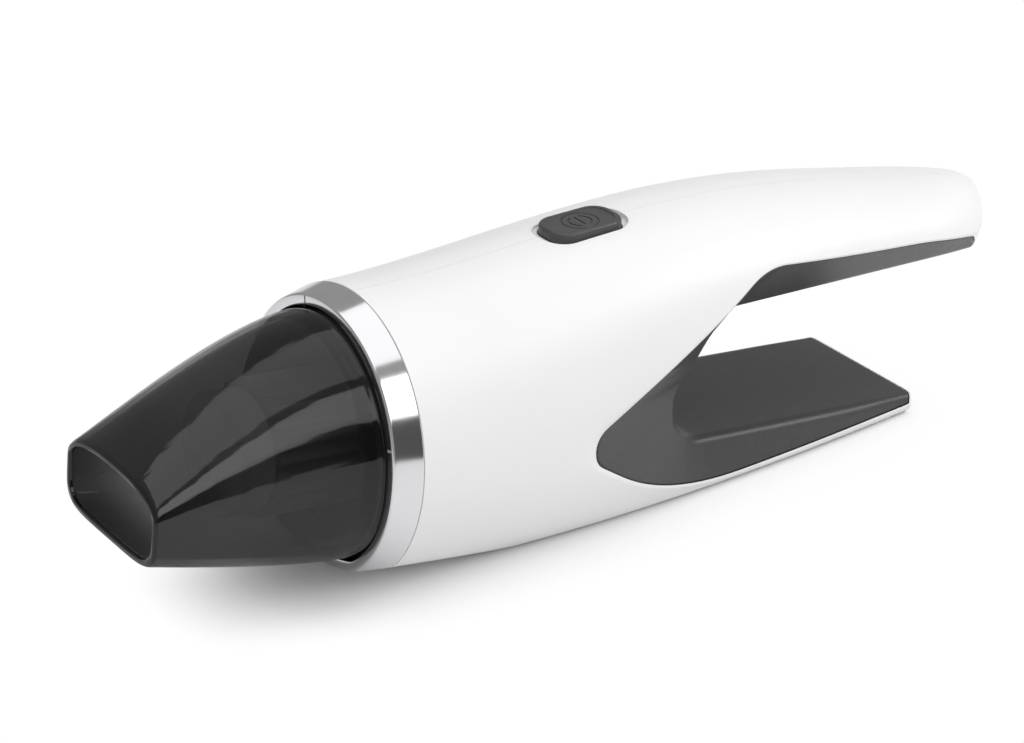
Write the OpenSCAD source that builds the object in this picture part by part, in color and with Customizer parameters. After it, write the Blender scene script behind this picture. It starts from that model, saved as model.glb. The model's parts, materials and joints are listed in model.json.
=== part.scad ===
/* [Housing] */
// Radius of the housing's round front end, at the back edge of the trim ring
collar_r = 45; // [42:0.5:50]
// Length of the housing from the trim ring to the end of the handle
housing_l = 245; // [235:1:260]
// Depth of the handle: how far the crown's highest point lies above the handle's underside
crown_rise = 31.5; // [30.5:0.5:35]
// Distance behind the ring at which the crown is highest
crown_x = 143; // [130:1:155]
// How far the crown falls again at the end of the handle
tail_drop = 6.5; // [4:0.5:9]
// How much of the half width is lost at the end of the handle
tail_taper = 20.5; // [17:0.5:22]
// Height of the rounded crown at the end of the handle
tail_crown = 14; // [12:0.5:18]
// Wall of the two housing halves
wall = 2.4; // [2:0.1:2.8]

/* [Sole] */
// Nose-up tilt of the suction axis when the cleaner stands on its sole
pitch = 6.25; // [5:0.25:7.5]
// Depth of the flat sole under the suction axis, at the ring
sole_depth = 42.6; // [42:0.1:44]
// Depth of the flattened belly under the suction axis, at the ring
belly_depth = 39.8; // [39:0.1:41]
// Radius of the belly's shallow arch
belly_arch_r = 60; // [55:1:70]
// Distance behind the ring at which the foot ends
foot_x = 208; // [205:1:214]
// Corner radius of the foot, seen from above
foot_corner = 9; // [6:0.5:12]

/* [Finger gap] */
// Foremost point of the grey panel on the housing's flank
panel_tip_x = 54; // [52:0.5:58]
// Climb of the panel's upper edge from its tip to the handle
panel_climb = 46.2; // [45:0.2:48]
// Height of the white rim round the foot above the sole
rim_h = 3.2; // [2.8:0.1:4]
// Place of the gap's closed end behind the ring
throat_x = 105; // [102:0.5:108]
// Height of the foot's pad relative to the suction axis
pad_z = -12.2; // [-14:0.1:-11]
// Half width of the pad between its sloped flanks
pad_half_w = 28.2; // [27:0.1:28.5]
// Height of the handle's underside at the closed end of the gap
grip_z = 27.5; // [26:0.1:29]
// Half width of the handle's flat underside
grip_half_w = 20; // [18:0.5:22]
// Thickness of the grip liner
liner_t = 2.2; // [1.8:0.1:2.4]

/* [Trim ring and dust cup] */
// Length of the trim ring along the suction axis
ring_l = 9.2; // [8:0.1:11]
// How much the ring's radius narrows towards the nose
ring_taper = 2.6; // [2:0.1:3.5]
// Width of the ring's front face
ring_face = 3.2; // [2.8:0.1:3.6]
// Length of the dust cup in front of the ring
cup_l = 68.5; // [64:0.5:75]
// Half width of the nozzle mouth
mouth_half_w = 27; // [24:0.5:30]
// Top of the nozzle mouth relative to the suction axis
mouth_top = 4.2; // [2:0.2:7]
// Depth of the nozzle mouth under the suction axis
mouth_depth = 20.6; // [18:0.1:22]
// Wall of the dust cup
cup_wall = 2; // [1.6:0.1:2.4]

/* [Filter] */
// Radius of the filter's front cap
filter_cap_r = 18.5; // [17:0.5:20]
// Length of the pleated filter
filter_l = 32; // [28:0.5:34]
// Number of pleats
pleats = 24; // [16:1:28]

/* [Motor and fan] */
// Radius of the fan wheel
fan_r = 29; // [26:0.5:30]
// Number of fan blades
blades = 9; // [7:1:11]
// Radius of the motor's can
motor_r = 18; // [16:0.5:19]
// Length of the motor's can
motor_l = 44; // [40:0.5:46]
// Radius of the motor's shaft
shaft_r = 1.6; // [1.4:0.1:2]

/* [Button and electronics] */
// Distance of the power button behind the ring
button_x = 81.5; // [78:0.5:84]
// Length of the power button
button_l = 26; // [25:0.5:28]
// Width of the power button
button_w = 16.6; // [16:0.2:18]
// How far the button stands proud of the crown
button_proud = 1.6; // [1.4:0.1:2.2]
// Travel of the button
button_travel = 1.5; // [1:0.1:1.8]
// Radius of one battery cell
cell_r = 9.1; // [8.6:0.1:9.2]
// Length of one battery cell
cell_l = 65; // [60:0.5:66]

/* [Hidden] */

// Gap between parts that only lie against each other
seat = 0.15;
// Gap between parts that move against each other
slack = 0.4;
far = 300;

// Suction axis runs along X with the nose at minus X and the ring's back edge at X = 0.
// The finished part stands on its sole, so every module is tipped by at_rest.
sole_behind = 10;
sole_mid_x = foot_x/2 + sole_behind;
sole_slope = tan(pitch);
function sole_z(x) = sole_slope*x - sole_depth;
module at_rest() {
    lift = sole_depth*cos(pitch);
    mid = sole_mid_x*cos(pitch) + sole_z(sole_mid_x)*sin(pitch);
    translate([-mid, 0, lift]) rotate([0, pitch, 0]) children();
}
module along_x(x) { translate([x, 0, 0]) rotate([0, 90, 0]) children(); }
module tube_x(x0, x1, r_out, r_in) {
    along_x(x0) difference() {
        cylinder(h = x1 - x0, r = r_out, $fn = 64);
        translate([0, 0, -1]) cylinder(h = x1 - x0 + 2, r = r_in, $fn = 64);
    }
}
module disc_x(x0, x1, r) { along_x(x0) cylinder(h = x1 - x0, r = r, $fn = 64); }
// Joins its children into one mesh at their own size
module one_mesh() { resize([0, 0, 0]) children(); }

function limit(v) = max(0, min(1, v));

// Skin of the housing: crown, side and lower flank at each distance x behind the ring
tail_round = 37;
handle_round_x = housing_l - tail_round;
handle_mid_z = 42;
lower_drop = 8;
lower_h_foot = 26;
belly_dip = 0.07;
// Exponents of the curves that the skin follows
plan_n = 2.2;
end_n = 6;
rise_e = 1.5;
flatten_e = 2.36;
taper_e = 1.7;
lower_e = 2.26;
crown_square = 0.3;
crown_square_x = 120;
function tail_u(x) = limit((x - handle_round_x)/tail_round);
function tail_w(x) = pow(1 - pow(tail_u(x), plan_n), 1/plan_n);
function tail_h(x) = pow(1 - pow(tail_u(x), end_n), 1/end_n);
function crown_full(x) = collar_r + (grip_z + crown_rise - collar_r)*pow(sin(90*limit(x/crown_x)), rise_e)
    - tail_drop*pow(sin(90*limit((x - crown_x)/(housing_l - crown_x))), 2);
function crown_z(x) = handle_mid_z*(1 - tail_h(x)) + crown_full(x)*tail_h(x);
flatten_x = housing_l + 20;
function crown_h(x) = tail_h(x)
    *(collar_r - (collar_r - tail_crown)*pow(sin(90*limit(x/flatten_x)), flatten_e));
function crown_n(x) = 2 + crown_square*limit(x/crown_square_x);
function half_w(x) = (collar_r - tail_taper*pow(limit(x/housing_l), taper_e))*tail_w(x);
function lower_z(x) = -lower_drop*x/foot_x;
function lower_h(x) = collar_r - (collar_r - lower_h_foot)*pow(limit(x/foot_x), lower_e);
function belly_z(x, y) = y*y/(2*belly_arch_r) - belly_depth - belly_dip*x;
function floor_z(x, y, inset) = max(belly_z(x, y), sole_z(x)) + inset;

// Half width of the skin at a height, for the pieces that end on it
function skin_y(x, z) =
    let (spring = crown_z(x) - crown_h(x), n = crown_n(x))
    z > spring ? half_w(x)*pow(max(0, 1 - pow(limit((z - spring)/crown_h(x)), n)), 1/n) :
    z < lower_z(x) ? half_w(x)*sqrt(max(0, 1 - pow((lower_z(x) - z)/lower_h(x), 2))) : half_w(x);

quarter = 9;
sole_steps = 4;
// Least half width of an inner skin, and a step too small to see
least = 0.5;
hair = 0.01;
function flank(x, inset, t) =
    [max(least, half_w(x) - inset)*cos(t), lower_z(x) - (lower_h(x) - inset)*sin(t)];
halvings = 18;
function flank_end(x, inset, a = 5, b = 90, i = 0) =
    i > halvings ? (a + b)/2 :
    let (m = (a + b)/2, p = flank(x, inset, m))
    p[1] > floor_z(x, p[0], inset) ? flank_end(x, inset, m, b, i + 1) : flank_end(x, inset, a, m, i + 1);
function half_section(x, inset) =
    let (w = max(least, half_w(x) - inset), h = max(least, crown_h(x) - inset),
        spring = crown_z(x) - crown_h(x), n = crown_n(x),
        last = flank_end(x, inset), corner = flank(x, inset, last))
    concat(
        [for (i = [0:quarter]) let (t = 90 - 90*i/quarter)
            [w*pow(cos(t), 2/n), spring + h*pow(sin(t), 2/n)]],
        [for (i = [0:quarter]) let (t = last*i/quarter)
            i == 0 ? [w, lower_z(x) - hair] : [w*cos(t), flank(x, inset, t)[1]]],
        [for (i = [1:sole_steps]) let (y = corner[0]*(1 - i/sole_steps)) [y, floor_z(x, y, inset)]]);
function full_section(x, inset) =
    let (h = half_section(x, inset), n = len(h))
    concat([for (p = h) [x, p[0], p[1]]], [for (i = [n - 2:-1:1]) [x, -h[i][0], h[i][1]]]);

// Solid through a row of closed loops with equal numbers of points
module loft(loops) {
    n = len(loops[0]);
    m = len(loops);
    sides = [for (i = [0:m - 2]) for (j = [0:n - 1])
        let (a = i*n + j, b = i*n + (j + 1)%n, c = (i + 1)*n + (j + 1)%n, d = (i + 1)*n + j)
        each [[a, b, c], [a, c, d]]];
    caps = [[for (j = [n - 1:-1:0]) j], [for (j = [0:n - 1]) (m - 1)*n + j]];
    polyhedron([for (l = loops) each l], concat(sides, caps), convexity = 8);
}
long_steps = 17;
tail_steps = 8;
stations = concat([for (i = [0:long_steps]) handle_round_x*i/long_steps],
    [for (i = [1:tail_steps]) handle_round_x + tail_round*sin(88*i/tail_steps)]);
module skin(inset) { loft([for (x = stations) full_section(x - tail_u(x)*inset, inset)]); }
// Outside of the foot's outline seen from above, below the middle of the gap
split_z = 8;
module behind_foot(inset) {
    w = 2*half_w(foot_x - foot_corner) + 2;
    translate([0, 0, split_z - far]) linear_extrude(far) difference() {
        translate([foot_x - 2*foot_corner, -far/2]) square([far, far]);
        offset(r = foot_corner - inset, $fn = 32)
            translate([0, -w/2 + foot_corner]) square([foot_x - foot_corner, w - 2*foot_corner]);
    }
}
module housing_solid(inset) {
    difference() {
        skin(inset);
        behind_foot(inset);
    }
}

// Finger gap: a corner path of the panel's edge on the skin and one of the crease inside it
corner_steps = 7;
function unit(v) = v/norm(v);
function fillet(a, b, c, r) =
    let (u = unit(a - b), w = unit(c - b), half = acos(u*w)/2, d = r/tan(half),
        mid = b + unit(u + w)*r/sin(half), p = b + u*d - mid, q = b + w*d - mid,
        side = sign(p[0]*q[1] - p[1]*q[0]), sweep = 180 - 2*half, start = atan2(p[1], p[0]))
    [for (i = [0:corner_steps]) mid + r*[cos(start + side*sweep*i/corner_steps),
        sin(start + side*sweep*i/corner_steps)]];
panel_tip = [panel_tip_x, -1.2];
panel_edge_slope = 0.6;
handle_edge_x = panel_tip_x + panel_climb/panel_edge_slope;
handle_edge_slope = -0.036;
panel_top = [handle_edge_x, panel_tip[1] + panel_climb];
function rim_z(x) = sole_z(x) + rim_h;
panel_low_x = 102;
panel_low = [panel_low_x, rim_z(panel_low_x)];
edge_fillets = [30, 7.8, 95];
gap_end_x = housing_l + 40;
grip_end_x = housing_l - 20;
grip_ends = concat(gap_end_x, [for (i = [3:-1:0]) grip_end_x + (housing_l - grip_end_x)*i/3]);
pad_end_x = foot_x - 4;
// The panel's edge dips where the handle rounds off
handle_dip = 4.2;
handle_dip_l = 40;
function handle_edge(x) = [x, panel_top[1] + handle_edge_slope*(x - panel_top[0])
    - handle_dip*pow(limit((x - housing_l)/handle_dip_l + 1), 2)];
function rim_edge(x) = [x, rim_z(x)];
// Points inside a straight run, so that the flank follows the skin along it
run_steps = 4;
function run(a, b) = [for (i = [1:run_steps - 1]) a + (b - a)*i/run_steps];
// A path with end points on either side of three rounded corners
function corner_path(start, corners, end, radii) =
    let (from = start[len(start) - 1], p = concat([from], corners, [end[0]]), s = corner_steps,
        arcs = [for (i = [0:2]) fillet(p[i], p[i + 1], p[i + 2], radii[i])])
    concat(start, run(from, arcs[0][0]), arcs[0], run(arcs[0][s], arcs[1][0]), arcs[1],
        run(arcs[1][s], arcs[2][0]), arcs[2], run(arcs[2][s], end[0]), end);
function edge_path() = corner_path([for (x = grip_ends) handle_edge(x)],
    [panel_top, panel_tip, panel_low], [rim_edge(pad_end_x), rim_edge(gap_end_x)], edge_fillets);
grip_slope = 0.056;
pad_slope = -0.009;
grip_start = [throat_x + 21, grip_z];
throat_mid = [throat_x, 7.5];
throat_low = [throat_x + 0.6, pad_z];
crease_fillets = [10, 12, 12];
// The handle's underside turns up at its very end
grip_lift = 1.5;
function grip_line(x) = [x, grip_z + grip_slope*(x - grip_start[0])
    + grip_lift*pow(limit((x - grip_end_x)/(housing_l - grip_end_x)), 3)];
function pad_line(x) = [x, pad_z + pad_slope*(x - throat_x)];
function crease_path() = corner_path([for (x = grip_ends) grip_line(x)],
    [grip_start, throat_mid, throat_low], [pad_line(pad_end_x), pad_line(gap_end_x)], crease_fillets);
// Half width of the crease: the handle's underside is narrower than the foot's pad
widen_z = 12;
function crease_y(p) = grip_half_w + (pad_half_w - grip_half_w)*limit((grip_z - p[1])/(grip_z - widen_z));
// The path moved outwards, away from the air, by a distance
function moved(path, d) = [for (i = [0:len(path) - 1])
    let (a = path[max(0, i - 1)], b = path[min(len(path) - 1, i + 1)], u = unit(b - a))
    path[i] + d*[u[1], -u[0]]];
module gap_solid(thicker) {
    edge = moved(edge_path(), thicker);
    crease = moved(crease_path(), thicker);
    reach = 1.3;
    flank_w = 1.5;
    // Beyond the foot its flank keeps the shape that it has at the foot's end
    edge_y = [for (e = edge) skin_y(e[1] > split_z ? e[0] : min(e[0], pad_end_x), e[1])];
    inner = [for (i = [0:len(edge) - 1]) let (c = crease[i])
        [c[0], max(min(crease_y(c), edge_y[i] - flank_w) - thicker, least), c[1]]];
    outer = [for (i = [0:len(edge) - 1])
        let (c = inner[i], e = [edge[i][0], max(edge_y[i], c[1] + least), edge[i][1]])
        c + (e - c)*reach];
    side = [for (p = outer) [p[0], far, p[2]]];
    loft(concat([for (l = [side, outer, inner]) [for (p = l) [p[0], -p[1], p[2]]]], [inner, outer, side]));
}

// Recess of the button, upright when the cleaner stands
module at_button() {
    translate([button_x, 0, crown_z(button_x)]) rotate([0, -pitch, 0]) children();
}
button_r = 6.5;
module button_outline(extra) {
    offset(r = button_r + extra, $fn = 40)
        square([button_l - 2*button_r, button_w - 2*button_r], center = true);
}

// Screws run across the parting line from the right half into the left one
screw_r = 1.4;
screw_head_r = 2.8;
screw_l = 16;
screw_head_h = 1.8;
boss_r = 4;
function under_crown(x, drop) = [x, crown_full(x) - drop];
function over_floor(x, rise) = [x, floor_z(x, 0, 0) + rise];
front_screw_x = 16;
sole_screw_x = 58;
screw_ahead = 9;
screw_behind = 11;
screw_drops = [8.5, 9.3, 7.3];
sole_screw_rise = 8.2;
function screw_spots() = [
    under_crown(front_screw_x, screw_drops[0]), over_floor(sole_screw_x, sole_screw_rise),
    under_crown(cell_x - screw_ahead, screw_drops[1]),
    under_crown(cell_x + cell_l + screw_behind, screw_drops[2])];
head_y = 9;
web_t = 2;
module at_screws() {
    for (s = screw_spots()) translate([s[0], 0, s[1]]) rotate([-90, 0, 0]) children();
}

// Fan and motor stand one behind the other on the suction axis
plate_x = 1;
plate_t = 3;
fan_x = plate_x + plate_t + 3;
fan_l = 22;
fan_gap = 1.2;
fan_wall = 1.6;
motor_x = fan_x + fan_l + 1;
motor_end_x = motor_x + motor_l;
cap_l = 6;
mount_t = 3.2;
mount_l = 6;
mount_x = [motor_x + 4, motor_end_x - mount_l - 4];

// Ribs carry the motor mounts and the fan; the electronics' bay is kept clear of them
fan_rib_t = 3;
bay = [80, 34, 120];
module ribs() {
    difference() {
        union() {
            for (x = mount_x) translate([x + 1, -far/2, -far/2]) cube([mount_l - 2, far, far]);
            translate([fan_x + fan_l - fan_rib_t - 2, -far/2, -far/2]) cube([fan_rib_t, far, far]);
        }
        disc_x(0, fan_x + fan_l + 2, fan_r + fan_gap + fan_wall + seat);
        disc_x(0, throat_x, motor_r + mount_t + seat);
        at_button() translate(-bay/2) cube(bay + [0, 0, far]);
    }
}
// Narrow ledges from the side walls carry the control board, posts from the crown the charging board
ledge_t = 2;
ledge_h = 5;
ledge_in = 4;
post_r = 2;
post_y = 6;
post_in = 6;
module board_holders() {
    at_button() for (x = [ledge_in - board_ahead, board_l - board_ahead - ledge_in])
        translate([x - ledge_t/2, -far/2, board_top - board_t - seat - ledge_h])
            cube([ledge_t, far, ledge_h]);
    for (x = [charge_x + post_in, charge_x + charge_l - 2*post_in]) for (side = [-1, 1])
        translate([x, side*post_y, charge_z - socket_h/2 + seat]) cylinder(h = far, r = post_r, $fn = 20);
}
// Thickness of the white lip that the liner's edge lies behind
lip_t = 0.7;
module half_shell() {
    difference() {
        union() {
            difference() {
                housing_solid(0);
                housing_solid(wall);
            }
            intersection() {
                housing_solid(wall/2);
                union() {
                    ribs();
                    board_holders();
                    at_screws() translate([0, 0, -screw_l/2]) cylinder(h = far, r = boss_r, $fn = 24);
                    for (s = screw_spots())
                        translate([s[0] - web_t/2, -screw_l/2, s[1] > 0 ? s[1] : s[1] - far])
                            cube([web_t, screw_l, far]);
                }
            }
        }
        gap_solid(0);
        intersection() {
            gap_solid(liner_t + 2*seat);
            housing_solid(lip_t);
        }
        intersection() {
            disc_x(-1, ring_tail + 1, collar_r - wall - seat);
            belly_cylinder(wall + seat);
        }
        at_button() translate([0, 0, 2*flange_z]) linear_extrude(far) button_outline(slack);
        at_screws() {
            translate([0, 0, -screw_l + head_y]) cylinder(h = screw_l, r = screw_r + seat, $fn = 20);
            translate([0, 0, head_y]) cylinder(h = far, r = screw_head_r + seat, $fn = 24);
        }
        translate([housing_l - socket_l - socket_in, -socket_w/2 - slack, charge_z - socket_h/2 - slack])
            cube([far, socket_w + 2*slack, socket_h + 2*slack]);
    }
}
parting_gap = 0.01;
module keep_side(side) {
    intersection() {
        children();
        translate([-far/2, side > 0 ? parting_gap/2 : -far - parting_gap/2, -far/2])
            cube([2*far, far, far]);
    }
}
module body_left() { color("white") at_rest() one_mesh() keep_side(-1) half_shell(); }
module body_right() { color("white") at_rest() one_mesh() keep_side(1) half_shell(); }

// Exhaust slots in the closed end of the gap
slot_n = 6;
slot_w = 3;
slot_h = 16;
slot_low = -6;
slots_w = 40;
module grip_liner() {
    color("dimgray") at_rest() one_mesh() difference() {
        intersection() {
            gap_solid(liner_t);
            housing_solid(lip_t + seat);
        }
        gap_solid(0);
        for (i = [0:slot_n - 1])
            translate([throat_x - slots_w/2, slots_w*((i + 0.5)/slot_n - 0.5) - slot_w/2, slot_low])
                cube([slots_w, slot_w, slot_h]);
    }
}

// Trim ring, flattened below like the belly behind it
module belly_cylinder(r_less) {
    lean = atan(belly_dip);
    translate([0, 0, belly_arch_r - belly_depth]) rotate([0, 90 + lean, 0])
        cylinder(h = far, r = belly_arch_r - r_less, center = true, $fn = 96);
}
notch_angles = [74, 164, 254, 344];
notch_w = 0.8;
notch_depth = 0.7;
bore_r = collar_r - ring_taper - ring_face;
ring_tail = 6;
module trim_ring() {
    front_r = collar_r - ring_taper;
    spigot_r = collar_r - wall - 2*seat;
    color("silver") at_rest() difference() {
        union() {
            intersection() {
                along_x(-ring_l) rotate_extrude($fn = 128)
                    polygon([[0, 0], [front_r, 0], [collar_r, ring_l], [0, ring_l]]);
                belly_cylinder(0);
            }
            intersection() {
                disc_x(-1, ring_tail, spigot_r);
                belly_cylinder(wall + 2*seat);
            }
        }
        intersection() {
            disc_x(-ring_l - 1, ring_tail + 1, bore_r);
            belly_cylinder(ring_face);
        }
        for (a = notch_angles) along_x(-ring_l) rotate([0, 0, 180 - a])
            translate([0, bore_r + ring_face/2, 0])
                cube([notch_w, ring_face - notch_w, 2*notch_depth], center = true);
    }
}

// Dust cup: from a flattened round base to a low wide mouth
cup_base_x = -ring_l;
cup_gap = 0.6;
cup_r = bore_r - cup_gap;
cup_depth = belly_depth - belly_dip*ring_l - ring_face - cup_gap;
mouth_spring = -5;
// How the cup's top line dips, and how square its upper and lower corners get towards the mouth
dip_e = 1.55;
base_flat = 3.2;
base_square = 0.3;
base_low_n = 2 + base_square*limit((cup_r - cup_depth)/base_flat);
mouth_n = [2.4, 5];
cup_quarter = 8;
function cup_s(x) = limit((cup_base_x - x)/cup_l);
function cup_half(x, inset) =
    let (s = cup_s(x), w = cup_r + (mouth_half_w - cup_r)*s - inset,
        spring = mouth_spring*s,
        top = cup_r + (mouth_top - cup_r)*pow(s, dip_e) - spring - inset,
        low = cup_depth + (mouth_depth - cup_depth)*s + spring - inset,
        n_top = 2 + (mouth_n[0] - 2)*s, n_low = base_low_n + (mouth_n[1] - base_low_n)*s)
    concat([for (i = [0:cup_quarter]) let (t = 90 - 90*i/cup_quarter)
            [w*pow(cos(t), 2/n_top), spring + top*pow(sin(t), 2/n_top)]],
        [for (i = [1:cup_quarter]) let (t = 90*i/cup_quarter)
            [w*pow(cos(t), 2/n_low), spring - low*pow(sin(t), 2/n_low)]]);
function cup_loop(x, at, inset) =
    let (h = cup_half(x, inset), n = len(h))
    concat([for (p = h) [at, p[0], p[1]]], [for (i = [n - 2:-1:1]) [at, -h[i][0], h[i][1]]]);
cup_steps = 12;
cup_rows = [for (i = [cup_steps:-1:0]) cup_base_x - cup_l*i/cup_steps];
spigot_in = cup_wall + slack;
spigot_t = 1.6;
spigot_l = 6;
module dust_cup() {
    color([0.12, 0.12, 0.12, 0.6]) at_rest() one_mesh() {
        difference() {
            loft([for (x = cup_rows) cup_loop(x, x, 0)]);
            loft(concat([cup_loop(cup_rows[0], cup_rows[0] - 1, cup_wall)],
                [for (x = cup_rows) cup_loop(x, x, cup_wall)],
                [cup_loop(cup_base_x, cup_base_x + 1, cup_wall)]));
        }
        along_x(cup_base_x - spigot_l) linear_extrude(2*spigot_l) difference() {
            cup_outline(spigot_in);
            cup_outline(spigot_in + spigot_t);
        }
    }
}
module cup_outline(inset) {
    polygon([for (p = cup_loop(cup_base_x, 0, inset)) [-p[2], p[1]]]);
}
// Rubber sleeve behind the cup's rim, which the cup's spigot enters
module cup_seal() {
    color("black") at_rest() along_x(cup_base_x + slack) linear_extrude(plate_x - cup_base_x - slack)
        difference() { cup_outline(2*seat); cup_outline(cup_wall); }
}

// Front bulkhead with the filter's socket, held inside the ring
socket_r = 16.8;
socket_wall = 2.4;
module front_bulkhead() {
    color([0.2, 0.2, 0.22]) at_rest() difference() {
        union() {
            intersection() {
                disc_x(plate_x, plate_x + plate_t, bore_r - seat);
                belly_cylinder(ring_face + seat);
            }
            disc_x(plate_x + plate_t, fan_x - seat, socket_r + socket_wall);
        }
        disc_x(plate_x - 1, fan_x + 1, socket_r);
    }
}

// Filter: a slotted frame with a neck, a pleated sleeve on it and a cap in front
flange_t = 2.4;
flange_x = plate_x - slack - flange_t;
media_x = flange_x - filter_l;
core_r = 12.5;
core_t = 2;
cap_t = 11.5;
cap_skin = 1;
cap_bevel = 1.5;
window_n = 6;
window_w = 5;
window_in = 3;
pleat_out = 2.5;
pleat_in = 2;
module filter_frame() {
    color([0.25, 0.25, 0.27]) at_rest() difference() {
        union() {
            disc_x(flange_x, flange_x + flange_t, filter_cap_r + pleat_out + 1);
            disc_x(flange_x + flange_t, plate_x + plate_t, socket_r - slack);
            disc_x(media_x - cap_t + cap_skin, flange_x, core_r);
        }
        disc_x(media_x - cap_t, fan_x, core_r - core_t);
        for (i = [0:window_n - 1]) rotate([360*i/window_n, 0, 0])
            translate([media_x + window_in, -window_w/2, 0])
                cube([filter_l - 2*window_in, window_w, core_r + 1]);
    }
}
module filter_media() {
    color("whitesmoke") at_rest() along_x(media_x + seat) linear_extrude(filter_l - 2*seat) difference() {
        polygon([for (i = [0:2*pleats - 1])
            (filter_cap_r + (i%2 == 0 ? pleat_out : -pleat_in))*[cos(180*i/pleats), sin(180*i/pleats)]]);
        circle(r = core_r + seat, $fn = 64);
    }
}
module filter_cap() {
    color([0.3, 0.3, 0.32]) at_rest() difference() {
        along_x(media_x) rotate([180, 0, 0]) rotate_extrude($fn = 96) polygon([[0, 0], [filter_cap_r, 0],
            [filter_cap_r, cap_t - cap_bevel], [filter_cap_r - cap_bevel, cap_t], [0, cap_t]]);
        disc_x(media_x - cap_t + cap_skin - seat, media_x + 1, core_r + seat);
    }
}

// Fan housing and fan wheel
inlet_r = 13;
wheel_disc_t = 1.6;
wheel_x = fan_x + fan_wall + wheel_disc_t;
wheel_l = 13;
hub_r = 6;
vent_n = 12;
vent_w = 6;
// Each blade is a strip of a circle through the shaft
blade_curve_r = 0.62*fan_r;
blade_t = 1.4;
blade_in = 2;
blade_root_r = hub_r + 3;
blade_tip_r = fan_r - 0.5;
module fan_housing() {
    out = fan_r + fan_gap + fan_wall;
    color([0.16, 0.16, 0.18]) at_rest() difference() {
        disc_x(fan_x, fan_x + fan_l, out);
        disc_x(fan_x + fan_wall, fan_x + fan_l - fan_wall, fan_r + fan_gap);
        disc_x(fan_x - 1, fan_x + fan_wall + 1, inlet_r);
        disc_x(fan_x + fan_l - fan_wall - 1, fan_x + fan_l + 1, hub_r + 1);
        for (i = [0:vent_n - 1]) rotate([360*i/vent_n, 0, 0])
            translate([fan_x + fan_l - fan_wall - 1, -vent_w/2, fan_r - vent_w - 1])
                cube([fan_wall + 2, vent_w, vent_w]);
    }
}
module fan_wheel() {
    color("gainsboro") at_rest() difference() {
        union() {
            disc_x(wheel_x + wheel_l, wheel_x + wheel_l + wheel_disc_t, fan_r);
            disc_x(wheel_x, wheel_x + wheel_l + wheel_disc_t, hub_r);
            for (i = [0:blades - 1]) along_x(wheel_x + blade_in) rotate([0, 0, 360*i/blades])
                linear_extrude(wheel_l - blade_in + wheel_disc_t/2) intersection() {
                    translate([0, blade_curve_r]) difference() {
                        circle(r = blade_curve_r, $fn = 64);
                        circle(r = blade_curve_r - blade_t, $fn = 64);
                    }
                    difference() {
                        translate([0, -1]) square([fan_r, 2*fan_r]);
                        circle(r = blade_root_r, $fn = 48);
                    }
                    circle(r = blade_tip_r, $fn = 64);
                }
        }
        disc_x(wheel_x - 1, wheel_x + wheel_l + 3, shaft_r);
    }
}

// Motor: can with magnets, armature and commutator on the shaft, end cap with brushes
can_t = 1.5;
bearing_r = 4.5;
bearing_l = 4;
shaft_x = wheel_x - 1;
can_in_r = motor_r - can_t - seat;
magnet_t = 3.25;
magnet_gap = 0.6;
magnet_half_w = 0.7*motor_r;
armature_r = can_in_r - magnet_t - magnet_gap;
armature_front = 8;
armature_back = 12;
armature_x = motor_x + armature_front;
armature_l = motor_l - armature_front - armature_back;
armature_n = 5;
armature_slot_w = 2.4;
armature_slot_r = 0.55*armature_r;
commutator_r = 4.6;
commutator_l = 6;
commutator_gap = 2;
brush_x = armature_x + armature_l + commutator_gap + commutator_l/2;
brush_w = 4;
brush_h = 3;
brush_gap = 0.1;
bearing_gap = 0.05;
cap_lip = 4;
cap_lip_t = 3;
module motor_shaft() {
    color("silver") at_rest() disc_x(shaft_x, motor_end_x + cap_l + 2, shaft_r);
}
module motor_armature() {
    color("peru") at_rest() difference() {
        disc_x(armature_x, armature_x + armature_l, armature_r);
        disc_x(armature_x - 1, armature_x + armature_l + 1, shaft_r);
        for (i = [0:armature_n - 1]) rotate([360*i/armature_n, 0, 0])
            translate([armature_x - 1, -armature_slot_w/2, armature_slot_r])
                cube([armature_l + 2, armature_slot_w, armature_r]);
    }
}
module motor_commutator() {
    color("goldenrod") at_rest()
        tube_x(brush_x - commutator_l/2, brush_x + commutator_l/2, commutator_r, shaft_r);
}
module motor_can() {
    color("lightslategray") at_rest() difference() {
        disc_x(motor_x, motor_end_x, motor_r);
        disc_x(motor_x + can_t, motor_end_x + 1, motor_r - can_t);
        disc_x(motor_x - 1, motor_x + can_t + 1, bearing_r);
    }
}
module motor_magnets() {
    color("dimgray") at_rest() for (side = [0, 180]) rotate([side, 0, 0]) intersection() {
        tube_x(armature_x, armature_x + armature_l, can_in_r, can_in_r - magnet_t);
        translate([armature_x - 1, -magnet_half_w, 0]) cube([armature_l + 2, 2*magnet_half_w, motor_r]);
    }
}
module motor_end_cap() {
    color("ivory") at_rest() difference() {
        union() {
            disc_x(motor_end_x, motor_end_x + cap_l, motor_r);
            disc_x(motor_end_x - cap_lip, motor_end_x, can_in_r);
        }
        disc_x(motor_end_x - cap_lip - 1, motor_end_x + cap_l - bearing_l, can_in_r - cap_lip_t);
        disc_x(motor_end_x, motor_end_x + cap_l + 1, bearing_r);
    }
}
module motor_brushes() {
    reach = can_in_r - commutator_r - 2*brush_gap;
    color("black") at_rest() for (side = [-1, 1])
        translate([brush_x, side*(commutator_r + brush_gap + reach/2), 0])
            cube([brush_w, reach, brush_h], center = true);
}
module front_bearing() {
    color("darkkhaki") at_rest()
        tube_x(motor_x - 1, motor_x - 1 + bearing_l, bearing_r, shaft_r + bearing_gap);
}
module rear_bearing() {
    color("darkkhaki") at_rest()
        tube_x(motor_end_x + cap_l - bearing_l, motor_end_x + cap_l, bearing_r, shaft_r + bearing_gap);
}
module motor_mount(x) {
    color([0.1, 0.1, 0.1]) at_rest() tube_x(x, x + mount_l, motor_r + mount_t, motor_r);
}
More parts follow.
